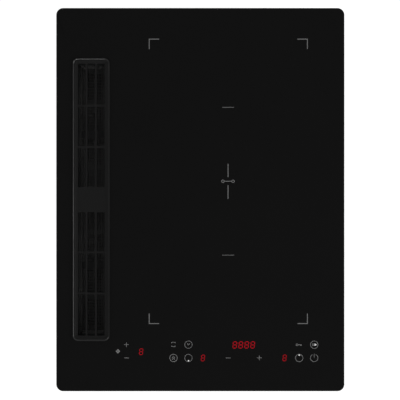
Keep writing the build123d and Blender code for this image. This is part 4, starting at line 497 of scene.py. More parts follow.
FINISHES = {
    "glass_ceramic": glass_ceramic(),
    # Closed-cell foam: dark grey, cells of about a millimetre, no gloss.
    "foam_seal": rubbery("closed_cell_foam", "#262626", "#343434", 0.85, 0.95, 1.1, 0.1),
    "galvanised_steel": spangled_zinc(),
    # Steel strip with a black coat: satin, orange peel of under 2 mm.
    "frame_steel": coated("black_coated_strip", "#1B1B1C", "#232324", 0.38, 0.5),
    # Screws, cold headed and zinc plated: bright grey, faintly blue, short tool lines.
    "zinc_screw": drawn(
        "bright_zinc_plated_steel", "#9EA2A5", "#C3C6C8", 0.25, 0.4, 0.6, (1, 1, 0.3)
    ),
    # Glass-filled polypropylene: black, even grain, dull.
    "well_plastic": moulded("black_glass_filled_plastic", "#141415", "#1D1D1E", 0.5, 0.62),
    # Dishwasher-safe tray plastic: dark grey, smoother than the well.
    "tray_plastic": moulded(
        "smooth_dark_grey_plastic", "#222325", "#2B2C2E", 0.3, 0.42, 1.4, 0.012
    ),
    # Stainless sheet, pressed: dulled by washing, with fine rolling lines along the filter.
    "filter_steel": drawn(
        "dulled_stainless_sheet", "#5E6061", "#787A7B", 0.38, 0.5, 0.5, (1, 0.03, 1)
    ),
    "filter_mesh": crinkled_mesh(),
    "grille_black": cast_black_coat(),
    # Silicone: black, slightly dusty skin.
    "silicone_pad": rubbery("black_silicone", "#151515", "#1C1C1C", 0.55, 0.7, 0.5, 0.01),
    # Talc-filled polypropylene housings: charcoal, eroded grain, soft sheen.
    "housing_plastic": moulded(
        "charcoal_housing_plastic", "#232427", "#303135", 0.45, 0.58, 1.1, 0.05
    ),
    # Impeller plastic: mid grey, satin from a polished tool.
    "impeller_plastic": moulded(
        "grey_impeller_plastic", "#3A3B3E", "#47484B", 0.35, 0.48, 1.4, 0.015
    ),
    # Ground steel shaft: bright, fine rings round the axis.
    "ground_steel": drawn(
        "ground_steel_rod", "#B4B5B6", "#D3D4D5", 0.12, 0.22, 0.4, (0.2, 0.2, 1)
    ),
    # Baked enamel on the motor shell: dark grey, low gloss.
    "motor_enamel": coated("baked_grey_enamel", "#2C2D30", "#37383B", 0.35, 0.48, 2.2, 0.03),
    # Soft rubber: black, bloomed.
    "mount_rubber": rubbery("soft_black_rubber", "#121212", "#1C1C1C", 0.7, 0.85, 0.6, 0.02),
    # Flap plastic: grey, smooth.
    "flap_plastic": moulded("grey_flap_plastic", "#46474A", "#525356", 0.38, 0.5, 1.2, 0.012),
    "copper_winding": litz_winding(),
    # Glass-filled nylon: black, with fibres at the surface.
    "former_plastic": moulded(
        "black_glass_filled_nylon", "#1A1A1A", "#272727", 0.5, 0.66, 0.6, 0.04
    ),
    # Sintered ferrite: charcoal, stony.
    "ferrite": rubbery("sintered_ferrite", "#26272A", "#36373B", 0.5, 0.65, 0.8, 0.03),
    # Mill-finish aluminium: pale, rolling lines along x.
    "sheet_aluminium": drawn(
        "mill_finish_aluminium", "#C4C6C8", "#DBDDDE", 0.3, 0.42, 0.8, (0.03, 1, 1)
    ),
    "mica": pressed_mica(),
    # Unglazed ceramic: off-white, chalky.
    "sensor_ceramic": rubbery("unglazed_white_ceramic", "#D6D2C8", "#EAE7DF", 0.6, 0.75, 0.5, 0.01),
    # Tempered spring strip: grey with a blue cast, rolled lines along the strip.
    "spring_steel": drawn(
        "tempered_spring_strip", "#6E737A", "#8E939A", 0.25, 0.4, 0.5, (1, 1, 0.05)
    ),
    "circuit_board": etched_board(),
    # Natural nylon: milky white, waxy.
    "nylon_post": moulded("natural_nylon", "#D4D1C6", "#E4E2D9", 0.4, 0.5, 1.5, 0.01),
    # Extruded aluminium: pale, die lines along the fins.
    "heatsink_aluminium": drawn(
        "extruded_aluminium", "#B2B5B8", "#CFD1D3", 0.3, 0.45, 0.7, (1, 0.03, 1)
    ),
    # Shrink sleeve: near black, glossy.
    "capacitor_sleeve": moulded("dark_shrink_sleeve", "#14141C", "#1E1E28", 0.18, 0.28, 3.0, 0.02),
    # Epoxy dip on a powder core: green, lumpy gloss.
    "choke_core": moulded("green_epoxy_coat", "#1F4A2D", "#2B6340", 0.2, 0.35, 2.5, 0.08),
    # Relay case: dark blue, glossy.
    "relay_case": moulded("dark_blue_case_plastic", "#171C4A", "#20265E", 0.2, 0.32, 2.0, 0.01),
    # Cooling fan plastic: black, satin.
    "fan_plastic": moulded("black_fan_plastic", "#131313", "#1C1C1C", 0.4, 0.52, 1.2, 0.02),
    # Plated spring wire: pale gold.
    "key_spring": drawn("plated_spring_wire", "#B7AE8E", "#D2C9AB", 0.2, 0.34, 0.4, (1, 1, 0.3)),
    # Tinted display window: deep red, clear gloss.
    "digit_red": moulded("tinted_display_window", "#300508", "#3E080C", 0.08, 0.14, 4.0, 0.004),
    # Terminal box plastic: dark grey, grained, flame retardant and so a little chalky.
    "terminal_plastic": moulded(
        "dark_grey_box_plastic", "#232325", "#2E2E31", 0.5, 0.64, 1.0, 0.04
    ),
    # Terminal block: ivory, matt.
    "terminal_block": moulded("ivory_block_plastic", "#C9C5B6", "#D9D6C9", 0.45, 0.55, 1.4, 0.01),
    # Cable gland nylon: black, satin.
    "gland_plastic": moulded("black_gland_nylon", "#151515", "#1E1E1E", 0.35, 0.46, 1.3, 0.01),
}

for row in frame["record"]["subparts"]:
    for kept in NODES[row["node"]].material_slots:
        kept.material = FINISHES[row["material_slot"]]

# The filter's straps have the frame strip's black coat, so they don't shine in the slots.
for kept in NODES["filter_handles"].material_slots:
    kept.material = FINISHES["frame_steel"]


# ---------------------------------------------------------------- glass plate and its print

GLASS_R = 9.5
GLASS_RIM_R = 0.6
OPENING_X, OPENING_Y, OPENING_R = 23.3, 190, 5.5
ZONE_LINE = 1.1
DASH_LINE = 0.68
KEY_LINE = 0.6
THIN_LINE = 0.5
KEY_RING_R = 5.05
# The edges of the cooking area, the arms of its corner brackets, and its two dashes.
AREA_LEFT, AREA_RIGHT, AREA_FRONT, AREA_REAR = -69.9, 145.8, -168.7, 218.3
BRACKET_ARM = 14.0
DASH_X, DASH_L = 37.7, 16.0
DASHES_Y = (125.2, -75.3)
# The line between the zones: the middle and length of its rear and its front part.
DIVIDER_X = 37.6
DIVIDER_PARTS = ((39.5, 18.0), (10.2, 18.5))
# The link sign: its middle, the line of its print, its rings and its bar.
LINK_X, LINK_Y, LINK_LINE = 37.5, 24.9, 0.7
LINK_RING_R, LINK_REACH, LINK_BAR = 1.7, 6.9, 9.6
# The middle of each key's symbol. The lock's is the middle of its ring.
KEYS = {
    "fan": (-111.8, -205.7),
    "fan_more": (-100.3, -196.7),
    "fan_less": (-100.3, -214.7),
    "bridge": (-36.5, -196.4),
    "boost": (-36.4, -214.8),
    "timer": (-16.1, -196.7),
    "front_zone": (-16.1, -214.8),
    "less": (37.7, -214.7),
    "more": (80.0, -214.6),
    "lock": (131.3, -196.9),
    "rear_zone": (134.1, -214.8),
    "pause": (154.5, -196.8),
    "on_off": (154.4, -214.8),
}
SIGN_L = 6.4
BRIGHT_DOT_R = 1.0
# How far the lit digits lean for each millimetre up, and the gap between their segments.
LEAN = math.tan(math.radians(6))
SEGMENT_GAP = 0.2
SINGLE_DIGITS = ((-80.3, -206.3), (3.5, -214.8), (114.3, -214.7))
CLOCK_X, CLOCK_Y, CLOCK_PITCH = 58.9, -197.1, 8.05


def glass_plate():
    """The glass-ceramic plate: ground corners, rounded rim and the long opening for the grille."""
    low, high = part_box("glass_top")
    plate = block("glass_plate", low / MM, high / MM)
    round_edges(plate, upright, GLASS_R, 12)
    opening = block(
        "opening_tool", (WELL_X - OPENING_X, -OPENING_Y, -5), (WELL_X + OPENING_X, OPENING_Y, 15)
    )
    round_edges(opening, upright, OPENING_R, 8)
    cut(plate, opening)
    round_edges(plate, level_at(GLASS_TOP), GLASS_RIM_R, 4)
    settle(plate, "hob", FINISHES["glass_ceramic"], ["glass_top"])


def stroke(x, y, length, width, turn=0.0):
    """A flat printed stroke with square ends, turned anticlockwise by an angle in degrees."""
    bpy.ops.object.select_all(action="DESELECT")
    bpy.ops.mesh.primitive_plane_add(
        size=1.0,
        location=(x * MM, y * MM, GLASS_TOP * MM),
        rotation=(0, 0, math.radians(turn)),
    )
    bpy.context.active_object.scale = (length * MM, width * MM, 1)
    return named("stroke")


def ring(x, y, radius, width, gap=None, sides=40):
    """A flat printed ring. Gap is the first and last angle, in degrees, of an open part."""
    bpy.ops.object.select_all(action="DESELECT")
    bpy.ops.mesh.primitive_circle_add(
        vertices=sides,
        radius=(radius + width / 2) * MM,
        fill_type="NGON",
        location=(x * MM, y * MM, GLASS_TOP * MM),
    )
    piece = named("ring")
    choose(piece, "FACE", every)
    bpy.ops.mesh.inset(thickness=width * MM, depth=0)
    bpy.ops.mesh.delete(type="FACE")
    leave()
    if gap:

        def inside(face):
            middle = face.calc_center_median()
            angle = math.degrees(math.atan2(middle.y - y * MM, middle.x - x * MM))
            return gap[0] < angle % 360 < gap[1]

        choose(piece, "FACE", inside)
        bpy.ops.mesh.delete(type="FACE")
        leave()
    return piece


def dot(x, y, radius, sides=20, turn=0.0):
    """A flat printed dot, or a triangle with three sides."""
    bpy.ops.object.select_all(action="DESELECT")
    bpy.ops.mesh.primitive_circle_add(
        vertices=sides,
        radius=radius * MM,
        fill_type="NGON",
        location=(x * MM, y * MM, GLASS_TOP * MM),
        rotation=(0, 0, math.radians(turn)),
    )
    return named("dot")


def printed(marks, name, material):
    """Make flat marks one print with the thickness of the ink, and settle it on the glass."""
    piece = joined(marks, name)
    choose(piece, "FACE", every)
    extrude(INK_T)
    face_outwards()
    return settle(piece, "hob", material)


def zone_marks():
    """The cooking area: four corner brackets, the zones' dashes and the line between the zones."""
    line, arm = ZONE_LINE, BRACKET_ARM
    marks = []
    for x, inward in ((AREA_LEFT, 1), (AREA_RIGHT, -1)):
        for y, into in ((AREA_FRONT, 1), (AREA_REAR, -1)):
            marks.append(stroke(x + inward * arm / 2, y + into * line / 2, arm, line))
            along = y + into * (arm / 2 + line / 2)
            marks.append(stroke(x + inward * line / 2, along, line, arm - line))
    for y in DASHES_Y:
        marks.append(stroke(DASH_X, y, DASH_L, DASH_LINE))
    for y, length in DIVIDER_PARTS:
        marks.append(stroke(DIVIDER_X, y, line, length))
    ink = printed_enamel("fired_grey_zone_ink", "#565656", "#646464")
    return printed(marks, "zone_marks", ink)


def link_sign():
    """Two small rings on a bar, between the zones: they can be linked."""
    marks = [
        ring(LINK_X + across, LINK_Y, LINK_RING_R, LINK_LINE, sides=24)
        for across in (-LINK_REACH, LINK_REACH)
    ]
    marks.append(stroke(LINK_X, LINK_Y, LINK_BAR, LINK_LINE))
    ink = printed_enamel("fired_pale_link_ink", "#646464", "#727272")
    return printed(marks, "link_sign", ink)


def key_symbols():
    """The touch keys' symbols, in thin grey print, each about the middle of its key."""
    line, thin = KEY_LINE, THIN_LINE
    marks = []
    # Fan key: four leaves round a middle.
    x, y = KEYS["fan"]
    for across, up in ((1.7, 0), (-1.7, 0), (0, 1.7), (0, -1.7)):
        marks.append(dot(x + across, y + up, 1.4, 4))
    # Plus and minus of the fan, and of the timer and power setting. The stem of a plus is in two
    # halves that stand on its bar, so no marks overlap.
    for key in ("fan_more", "more"):
        x, y = KEYS[key]
        marks.append(stroke(x, y, SIGN_L, line))
        marks.append(stroke(x, y + 1.75, line, 2.9))
        marks.append(stroke(x, y - 1.75, line, 2.9))
    for key in ("fan_less", "less"):
        x, y = KEYS[key]
        marks.append(stroke(x, y, SIGN_L, line))
    # Bridge key: two lines with short feet.
    x, y = KEYS["bridge"]
    for up in (1, -1):
        marks.append(stroke(x, y + up * 2.9, 5.4, 0.55))
        for side in (1, -1):
            marks.append(stroke(x + side * 2.4, y + up * 2.15, 0.6, 0.9))
    # Timer key: a clock face with its hands.
    x, y = KEYS["timer"]
    marks.append(ring(x, y, KEY_RING_R, thin))
    marks.append(stroke(x - 0.9, y + 0.6, 3.1, line, 126))
    marks.append(stroke(x + 0.9, y + 0.6, 3.1, line, 54))
    # Boost key: two chevrons in a circle.
    x, y = KEYS["boost"]
    marks.append(ring(x, y, KEY_RING_R, 0.65))
    for up in (-1.3, 1.1):
        marks.append(stroke(x - 0.9, y + up, 2.8, 0.75, 42))
        marks.append(stroke(x + 0.9, y + up, 2.8, 0.75, -42))
    # Zone keys: a circle, with a bright dot at its front or at its rear.
    for key in ("front_zone", "rear_zone"):
        marks.append(ring(*KEYS[key], KEY_RING_R, 0.52))
    # Lock key: a key, its ring, stem and two teeth.
    x, y = KEYS["lock"]
    marks.append(ring(x, y, 1.35, 0.6, sides=20))
    marks.append(stroke(x + 3.9, y, 5.0, 0.6))
    marks.append(stroke(x + 6.0, y - 0.8, 0.7, 1.1))
    marks.append(stroke(x + 4.4, y - 0.8, 0.7, 1.1))
    # Pause key: bars and an arrow in a circle.
    x, y = KEYS["pause"]
    marks.append(ring(x, y, KEY_RING_R, 0.55))
    marks.append(stroke(x - 2.3, y, 0.7, 3.4))
    marks.append(stroke(x - 1.0, y, 0.7, 3.4))
    # On and off: a ring open at the top, with its line.
    x, y = KEYS["on_off"]
    marks.append(ring(x, y, KEY_RING_R, thin, (66, 114)))
    marks.append(stroke(x, y + 2.8, thin, 5.6))
    ink = printed_enamel("fired_grey_key_ink", "#666666", "#767676")
    return printed(marks, "key_symbols", ink)


def bright_points():
    """The white parts of the keys: the zones' dots and the arrow of the pause key."""
    front_x, front_y = KEYS["front_zone"]
    rear_x, rear_y = KEYS["rear_zone"]
    pause_x, pause_y = KEYS["pause"]
    marks = [
        dot(front_x, front_y - 3.7, BRIGHT_DOT_R),
        dot(rear_x, rear_y + 3.8, BRIGHT_DOT_R),
        dot(pause_x + 1.5, pause_y, 2.05, 3, -90),
    ]
    ink = printed_enamel("fired_white_key_ink", "#C4C4C4", "#DADADA")
    return printed(marks, "key_bright_points", ink)


def eight(name, wide, high, line):
    """Seven lit segments that make an 8, leaning a little, about the middle of the plate."""
    segments = []
    for up in (-high / 2, 0.0, high / 2):
        segments.append(stroke(up * LEAN, up, wide - line - SEGMENT_GAP, line))
    for up in (-high / 4, high / 4):
        for across in (-wide / 2, wide / 2):
            length = high / 2 - line - SEGMENT_GAP
            segments.append(stroke(across + up * LEAN, up, length, line, 84))
    made = joined(segments, name)
    choose(made, "FACE", every)
    bpy.ops.mesh.bevel(offset=line / 3 * MM, segments=2, affect="VERTICES")
    bpy.ops.mesh.select_mode(type="FACE")
    bpy.ops.mesh.select_all(action="SELECT")
    extrude(INK_T)
    face_outwards()
    return made


def lit_digits():
    """Digits that shine red through the glass, each a plain 8: three single and four in a row."""
    red = lit_segment()
    single = eight("single_digit", 4.3, 7.9, 0.74)
    for number, (x, y) in enumerate(SINGLE_DIGITS, 1):
        digit = copied(single, f"lit_digit_{number}", (x, y, 0))
        settle(digit, "hob", red)
    clock = eight("clock_digit", 4.9, 8.6, 0.96)
    for number in range(4):
        x = CLOCK_X + (number - 1.5) * CLOCK_PITCH
        digit = copied(clock, f"lit_clock_digit_{number + 1}", (x, CLOCK_Y, 0))
        settle(digit, "hob", red)
    bpy.data.objects.remove(single)
    bpy.data.objects.remove(clock)


# ---------------------------------------------------------------- intake grille and filter

# X and Y are half widths and half lengths from the middle of the well.
GRILLE_X, GRILLE_Y, GRILLE_R, GRILLE_RIM = 25.3, 192, 7.5, 7.0
SKIRT_X, SKIRT_Y, SKIRT_R, SKIRT_LOW = 21.8, 188.5, 4.5, -11.1
ROOM_X, ROOM_Y, ROOM_R, ROOM_HIGH = 19.6, 186.3, 2.5, -3.6
LIP_W = 0.9
# The dished border from the lip inwards: the width of each step and how far it drops.
BORDER = ((0.5, 0.8), (0.9, 0.65), (1.2, 0.5), (1.6, 0.4), (2.1, 0.25))
BORDER_Y = 187
SLOT_W, SLOT_L, SLOT_R = 10.467, 53.233, 1.2
BAR_W, CROSS_BAR_W = 2.4, 2.6
PANEL_Y, SLOTS_END_Y = 16.9, 184.6
BREAK_R = 0.3
# The meshes of the net across each axis, its wire, and how far its second layer lies inside.
NET_MESHES = ((0, 9), (1, 88), (2, 9))
NET_WIRE = 0.7
NET_LAYER_STEP = 1.5


def slot_tool(x, start, end):
    """The tool for one rounded slot between two places along the grille."""
    wide = SLOT_W / 2
    low, high = sorted((start, end))
    tool = block("slot_tool", (x - wide, low, -9), (x + wide, high, 9))
    round_edges(tool, upright, SLOT_R, 4)
    return tool


def intake_grille():
    """The cast grille: lip, dished border, and rows of slots on either side of a plain middle."""
    low, high = (WELL_X - GRILLE_X, -GRILLE_Y, 6), (WELL_X + GRILLE_X, GRILLE_Y, GRILLE_RIM)
    grille = block("cast_intake_grille", low, high)
    round_edges(grille, upright, GRILLE_R, 10)
    low, high = (WELL_X - SKIRT_X, -SKIRT_Y, SKIRT_LOW), (WELL_X + SKIRT_X, SKIRT_Y, 6.4)
    skirt = block("skirt", low, high)
    round_edges(skirt, upright, SKIRT_R, 8)
    cut(grille, skirt, "UNION")
    choose(grille, "FACE", facing_up_at(GRILLE_RIM))
    bpy.ops.mesh.inset(thickness=LIP_W * MM, depth=0)
    for width, drop in BORDER:
        bpy.ops.mesh.inset(thickness=width * MM, depth=0)
        bpy.ops.transform.translate(value=(0, 0, -drop * MM))
        bpy.ops.transform.resize(
            value=(1, 1 - width / 2 / BORDER_Y, 1), center_override=(WELL_X * MM, 0, 0)
        )
    leave()
    low, high = (WELL_X - ROOM_X, -ROOM_Y, -12), (WELL_X + ROOM_X, ROOM_Y, ROOM_HIGH)
    room = block("room_tool", low, high)
    round_edges(room, upright, ROOM_R, 5)
    cut(grille, room)
    step_x, step_y = SLOT_W + BAR_W, SLOT_L + CROSS_BAR_W
    for column in (-1, 0, 1):
        for row in range(3):
            for side in (1, -1):
                start = PANEL_Y + row * step_y
                end = start + SLOT_L if row < 2 else SLOTS_END_Y
                cut(grille, slot_tool(WELL_X + column * step_x, side * start, side * end))
    soften_edges(grille, BREAK_R, 2, 40)
    settle(grille, "intake_grille", FINISHES["grille_black"], ["intake_grille"])


def net_layer(name, inset, shift):
    """One layer of the net, inset by millimetres, its wires shifted by a share of a mesh."""
    low, high = (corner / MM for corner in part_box("filter_mesh"))
    low = [place + inset for place in low]
    high = [high[0] - inset, high[1] - inset, high[2]]
    layer = block(name, low, high)
    choose(layer, "FACE", lambda face: face.normal.z > 0.9)
    bpy.ops.mesh.delete(type="FACE")
    leave()
    for axis, count in NET_MESHES:
        for number in range(count):
            share = (number + shift) / count
            if share == 0:
                continue
            choose(layer, "FACE", every)
            point = [0.0, 0.0, 0.0]
            point[axis] = (low[axis] + (high[axis] - low[axis]) * share) * MM
            facing = [0.0, 0.0, 0.0]
            facing[axis] = 1.0
            bpy.ops.mesh.bisect(plane_co=point, plane_no=facing)
            leave()
    shape_with(layer, "WIREFRAME", thickness=NET_WIRE * MM, offset=-1, use_replace=True)
    choose(layer, "EDGE", lambda edge: edge.is_boundary)
    bpy.ops.mesh.bridge_edge_loops()
    face_outwards()
    return layer


def filter_net():
    """The net in the grease filter: two troughs, one within the other, of wires some 4 mm apart."""
    outer = net_layer("net_outer", 0.0, 0.0)
    inner = net_layer("net_inner", NET_LAYER_STEP, 0.5)
    net = joined([outer, inner], "filter_net")
    settle(net, "grease_filter", FINISHES["filter_mesh"], ["filter_mesh"])


glass_plate()
zone_marks()
link_sign()
key_symbols()
bright_points()
lit_digits()
intake_grille()
filter_net()


# ---------------------------------------------------------------- screws, gland, coils and seals

HEAD_R, HEAD_T = 3.8, 2.2
PAN_X, PAN_Y, PAN_SCREW_Z = 178, 243, -7.5
RIVET_X, RIVET_Y, RIVET_Z = 178.8, 150, -13
GLAND_PLACE = (-88.05, 230, -74)
# The gland: its hexagon's corner radius, its bore, and the rubber insert in its dome.
GLAND_HEX_R, GLAND_BORE_R, INSERT_R = 10, 5, 6.3
# The litz coils: half the eye's width and depth, its corner and the outer one, then turns, steps
# to a turn and to its quarter, and the radius of the bundle.
EYE_X, EYE_Y, EYE_R, COIL_R = 33, 24, 20, 55
TURNS, STEPS, QUARTER = 19, 28, 7
BUNDLE_R = 1.47


def ridges(length, pitch, share):
    """Draw the selected end face down into a ridged shank, as a thread shows from the side."""
    turns = round(length / pitch)
    for turn in range(turns):
        for scale in (share, 1 / share):
            extrude(-length / turns / 2)
            bpy.ops.transform.resize(value=(scale, scale, 1), center_override=(0, 0, 0))


def screw(name, length):
    """A cross-recessed pan-head screw, head up, with the head's seat at height 0."""
    piece = disc(name, HEAD_R, 0, HEAD_T, 32)
    round_edges(piece, level_at(HEAD_T), 1.2, 5)
    choose(piece, "FACE", facing_down)
    bpy.ops.mesh.inset(thickness=1.85 * MM, depth=0)
    ridges(length, 1.4, 0.82)
    leave()
    for wide, deep in ((2.2, 0.5), (0.5, 2.2)):
        arm = block("recess_tool", (-wide, -deep, 0.7), (wide, deep, 3))
        choose(arm, "FACE", facing_down)
        bpy.ops.transform.resize(value=(0.45, 0.45, 1), center_override=(0, 0, 0.7 * MM))
        leave()
        cut(piece, arm)
    return piece


def driven(name, length, places):
    """Screws of one length, each at its place and with its turn."""
    master = screw(name + "_master", length)
    row = [
        copied(master, f"{name}_{number}", place, turn)
        for number, (place, turn) in enumerate(places, 1)
    ]
    bpy.data.objects.remove(master)
    return row


def screws():
    """The screws of the pan, of the blower's housings and of its motor."""
    pan = []
    for side in (1, -1):
        for y in (-182.25, -60.75, 60.75, 182.25):
            pan.append(((side * PAN_X, y, PAN_SCREW_Z), (0, side * 90, 0)))
        for x in (-89, 89):
            pan.append(((x, side * PAN_Y, PAN_SCREW_Z), (-side * 90, 0, 0)))
    upper = [
        (46.02, -136.54),
        (109.2, -92.3),
        (121.27, -16.12),
        (79.26, 42.78),
        (-115.6, -147.2),
        (-115.6, 147.2),
    ]
    lower = [
        (-27.59, 48.7),
        (-74.9, 5.35),
        (-72.76, -109.35),
        (-8.47, -163.3),
        (92.12, -157.7),
        (159.2, -90.62),
    ]
    motor = [(25.5, 18), (-24.73, -69), (75.73, -69)]

    def upside_down(places, height):
        return [((x, y, height), (180, 0, 0)) for x, y in places]

    made = {
        "pan_screws": driven("pan_screws", 4.2, pan),
        "housing_screws": driven("housing_screws", 10, upside_down(upper, -65))
        + driven("lower_screws", 14.5, upside_down(lower, -100.5)),
        "motor_screws": driven("motor_screws", 9, upside_down(motor, -182.5)),
    }
    for node, row in made.items():
        piece = joined(row, "cross_recessed_" + node)
        settle(piece, "hob", FINISHES["zinc_screw"], [node])


def clip_rivets():
    """A domed rivet through the straight end of each leaf spring."""
    master = disc("clip_rivet", 3.0, 0, 1.4, 32)
    round_edges(master, level_at(1.4), 1.2, 6)
    choose(master, "FACE", facing_down)
    bpy.ops.mesh.inset(thickness=1.2 * MM, depth=0)
    extrude(-0.8)
    leave()
    row = [
        copied(master, "rivet", (side * RIVET_X, y, RIVET_Z), (0, side * 90, 0))
        for side in (1, -1)
        for y in (-RIVET_Y, RIVET_Y)
    ]
    bpy.data.objects.remove(master)
    settle(joined(row, "clip_rivets"), "hob", FINISHES["zinc_screw"])


def cable_gland():
    """The mains gland: locking nut, hexagon, ribbed clamping dome and a rubber insert."""
    gland = disc("gland_blank", GLAND_HEX_R, 0, 5, 6, 30)
    round_edges(gland, upright, 0.4, 2)
    choose(gland, "FACE", facing_down)
    bpy.ops.mesh.inset(thickness=0.9 * MM, depth=0)
    leave()
    sleeve = disc("sleeve", 8, -0.5, 0.4, 48)
    choose(sleeve, "FACE", facing_down)
    ridges(6.5, 1.3, 0.93)
    leave()
    cut(gland, sleeve, "UNION")
    nut = disc("nut", GLAND_HEX_R, -6, -2, 6, 30)
    round_edges(nut, lambda edge: not upright(edge), 0.5, 2)
    cut(gland, nut, "UNION")
    dome = disc("dome", 7.4, 4.8, 9, 48)
    round_edges(dome, level_at(9), 1.5, 4)

    def rib(face):
        middle = face.calc_center_median()
        angle = math.degrees(math.atan2(middle.y, middle.x)) % 360
        return abs(face.normal.z) < 0.1 and int(angle / 7.5) % 4 < 2

    choose(dome, "FACE", rib)
    bpy.ops.mesh.inset(thickness=0, depth=0.5 * MM)
    leave()
    cut(gland, dome, "UNION")
    cut(gland, disc("bore_tool", GLAND_BORE_R, -8, 10))
    cut(gland, disc("insert_tool", INSERT_R, 6, 10))
    insert = disc("insert_blank", INSERT_R, 6, 8.6)
    cut(insert, disc("insert_bore_tool", GLAND_BORE_R, 5, 9))
    round_edges(insert, level_at(8.6), 0.5, 3)
    for blank, name, finish, stands_for in (
        (gland, "cable_gland_with_dome", "gland_plastic", ["cable_gland"]),
        (insert, "cable_gland_insert", "mount_rubber", []),
    ):
        piece = copied(blank, name, GLAND_PLACE, (-90, 0, 0))
        bpy.data.objects.remove(blank)
        settle(piece, "hob", FINISHES[finish], stands_for)


def softened(node, body, finish, radius):
    """Foam or rubber in the shape of a node, its cut edges rounded as soft stuff leaves them."""
    piece = bpy.data.objects.new("soft_" + node, NODES[node].data.copy())
    bpy.context.collection.objects.link(piece)
    choose(piece, "FACE", every)
    # A CAD mesh comes in separate faces, so its corners are merged first.
    bpy.ops.mesh.remove_doubles(threshold=1e-6)
    bpy.ops.mesh.normals_make_consistent(inside=False)
    bpy.ops.mesh.dissolve_limited(angle_limit=math.radians(1))
    leave()
    soften_edges(piece, radius, 3, 50)
    settle(piece, body, FINISHES[finish], [node], 40)


def litz_coil(node):
    """A winding of litz as one spiral: inwards below, up at the eye, and outwards above."""
    low, high = (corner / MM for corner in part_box(node))
    middle = (low + high) / 2
    span_x = high.x - middle.x - EYE_X - 2 * BUNDLE_R
    span_y = high.y - middle.y - EYE_Y - 2 * BUNDLE_R
    count = TURNS * STEPS
    made = bpy.data.curves.new(node, "CURVE")
    made.dimensions = "3D"
    made.bevel_depth = BUNDLE_R * MM
    made.bevel_resolution = 2
    made.use_fill_caps = True
    route = made.splines.new("POLY")
    route.points.add(2 * count)
    for step, point in enumerate(route.points):
        share = abs(1 - step / count)
        rise = min(max((step - count + QUARTER) / (2 * QUARTER), 0), 1)
        corner_r = EYE_R + share * (COIL_R - EYE_R)
        corner, part = divmod(step % STEPS, QUARTER)
        way = math.radians(90 * corner + 15 * part)
        reach_x = EYE_X + BUNDLE_R + share * span_x
        reach_y = EYE_Y + BUNDLE_R + share * span_y
        right = 1 if corner in (0, 3) else -1
        rear = 1 if corner in (0, 1) else -1
        x = middle.x + right * (reach_x - corner_r) + corner_r * math.cos(way)
        y = middle.y + rear * (reach_y - corner_r) + corner_r * math.sin(way)
        z = low.z + BUNDLE_R + rise * (high.z - low.z - 2 * BUNDLE_R)
        point.co = (x * MM, y * MM, z * MM, 1)
    coil = bpy.data.objects.new("litz_" + node, made)
    bpy.context.collection.objects.link(coil)
    alone(coil)
    bpy.ops.object.convert(target="MESH")
    coil = bpy.context.active_object
    choose(coil, "FACE", every)
    bpy.ops.mesh.remove_doubles(threshold=1e-7)
    bpy.ops.mesh.normals_make_consistent(inside=False)
    leave()
    settle(coil, "hob", FINISHES["copper_winding"], [node], 60)


screws()
clip_rivets()
cable_gland()
litz_coil("coil_front")
litz_coil("coil_rear")
for foam, rounding in (
    ("worktop_seal", 0.5),
    ("well_gasket", 0.3),
    ("chamber_gasket", 0.5),
    ("duct_gasket", 0.4),
    ("spigot_gasket", 0.4),
):
    softened(foam, "hob", "foam_seal", rounding)
softened("motor_grommets", "hob", "mount_rubber", 0.6)
softened("grille_pads", "intake_grille", "silicone_pad", 0.15)


# ---------------------------------------------------------------- floor, light and camera

# How much of its own light the floor adds to the eye, so that it runs to white.
FLOOR_GLOW = 0.88
# The ceiling's grey by its height, from the horizon up.
CEILING = ((0.3, 1.0), (0.55, 0.35), (0.85, 0.07), (0.97, 0.055))
SKY_LIGHT = (0.62, 0.62, 0.62, 1)
LENS = 132.69
# The camera in metres: across, to the rear, and up from the glass.
CAMERA_X, CAMERA_Y, CAMERA_HEIGHT = -0.00045, -0.0005, 2.0


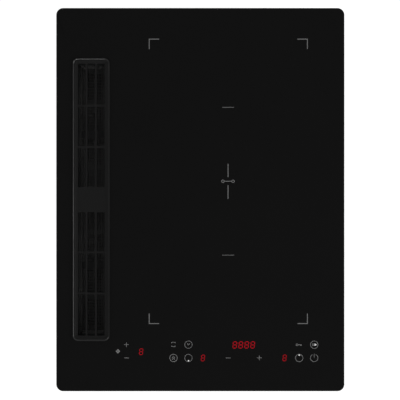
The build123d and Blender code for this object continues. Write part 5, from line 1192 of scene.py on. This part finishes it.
def floor():
    """A plain pale floor under the hob: lit, it runs to white, and it keeps the shadow."""
    lowest = CAD_BOX[0].z - FLOOR_GAP * MM
    bpy.ops.object.select_all(action="DESELECT")
    bpy.ops.mesh.primitive_plane_add(size=40, location=(0, 0, lowest))
    ground = named("floor")
    made = bpy.data.materials.new("pale_floor")
    made.use_nodes = True
    tree = made.node_tree
    shader = tree.nodes["Principled BSDF"]
    shader.inputs["Roughness"].default_value = 0.9
    shader.inputs["Specular IOR Level"].default_value = 0.0
    shader.inputs["Emission Color"].default_value = tint("#FFFFFF")
    seen = add(tree, "LightPath")
    glossy = add(
        tree,
        "Math",
        {"operation": "MAXIMUM"},
        {0: seen.outputs["Is Camera Ray"], 1: seen.outputs["Is Glossy Ray"]},
    )
    through = add(
        tree,
        "Math",
        {"operation": "MAXIMUM"},
        {0: glossy.outputs[0], 1: seen.outputs["Is Transmission Ray"]},
    )
    share = add(tree, "Math", {"operation": "MULTIPLY", 1: FLOOR_GLOW}, {0: through.outputs[0]})
    tree.links.new(share.outputs[0], shader.inputs["Emission Strength"])
    cover = add(
        tree,
        "Mix",
        {"data_type": "RGBA", 6: tint("#E6E6E6"), 7: tint("#8A8A8A")},
        {0: through.outputs[0]},
    )
    tree.links.new(cover.outputs[2], shader.inputs["Base Color"])
    ground.data.materials.append(made)


def sky():
    """A white studio with a dark ceiling: white to the eye, even and soft as light."""
    world = bpy.data.worlds.new("studio")
    bpy.context.scene.world = world
    world.use_nodes = True
    tree = world.node_tree
    back = tree.nodes["Background"]
    way = add(tree, "TexCoord")
    up = add(tree, "SeparateXYZ", None, {0: way.outputs["Generated"]})
    stops = [(height, (grey, grey, grey, 1)) for height, grey in CEILING]
    ceiling = add(tree, "ValToRGB", {"stops": stops}, {0: up.outputs[2]})
    seen = add(tree, "LightPath")
    lit = add(
        tree,
        "Mix",
        {"data_type": "RGBA", 7: SKY_LIGHT},
        {0: seen.outputs["Is Diffuse Ray"], 6: ceiling.outputs[0]},
    )
    tree.links.new(lit.outputs[2], back.inputs["Color"])
    back.inputs["Strength"].default_value = 1.0


def lamp(name, place, size, power):
    """A soft square lamp, in metres, aimed at the middle of the hob."""
    data = bpy.data.lights.new(name, "AREA")
    data.size = size
    data.energy = power
    made = bpy.data.objects.new(name, data)
    bpy.context.collection.objects.link(made)
    made.location = place
    way = -made.location.normalized()
    made.rotation_euler = way.to_track_quat("-Z", "Y").to_euler()


def camera():
    """Straight above the middle of the plate, far enough for the long lens of the photograph."""
    data = bpy.data.cameras.new("camera")
    data.sensor_width = 36
    data.lens = LENS
    data.clip_end = 100
    made = bpy.data.objects.new("camera", data)
    made.location = (CAMERA_X, CAMERA_Y, GLASS_TOP * MM + CAMERA_HEIGHT)
    bpy.context.collection.objects.link(made)
    bpy.context.scene.camera = made


floor()
sky()
lamp("right_lamp", (2.3, -0.5, 1.0), 1.3, 44)
lamp("front_lamp", (0.4, -2.4, 1.0), 1.2, 26)
lamp("left_lamp", (-2.2, 0.9, 0.7), 1.0, 10)
camera()
bpy.context.scene.view_settings.view_transform = "Standard"
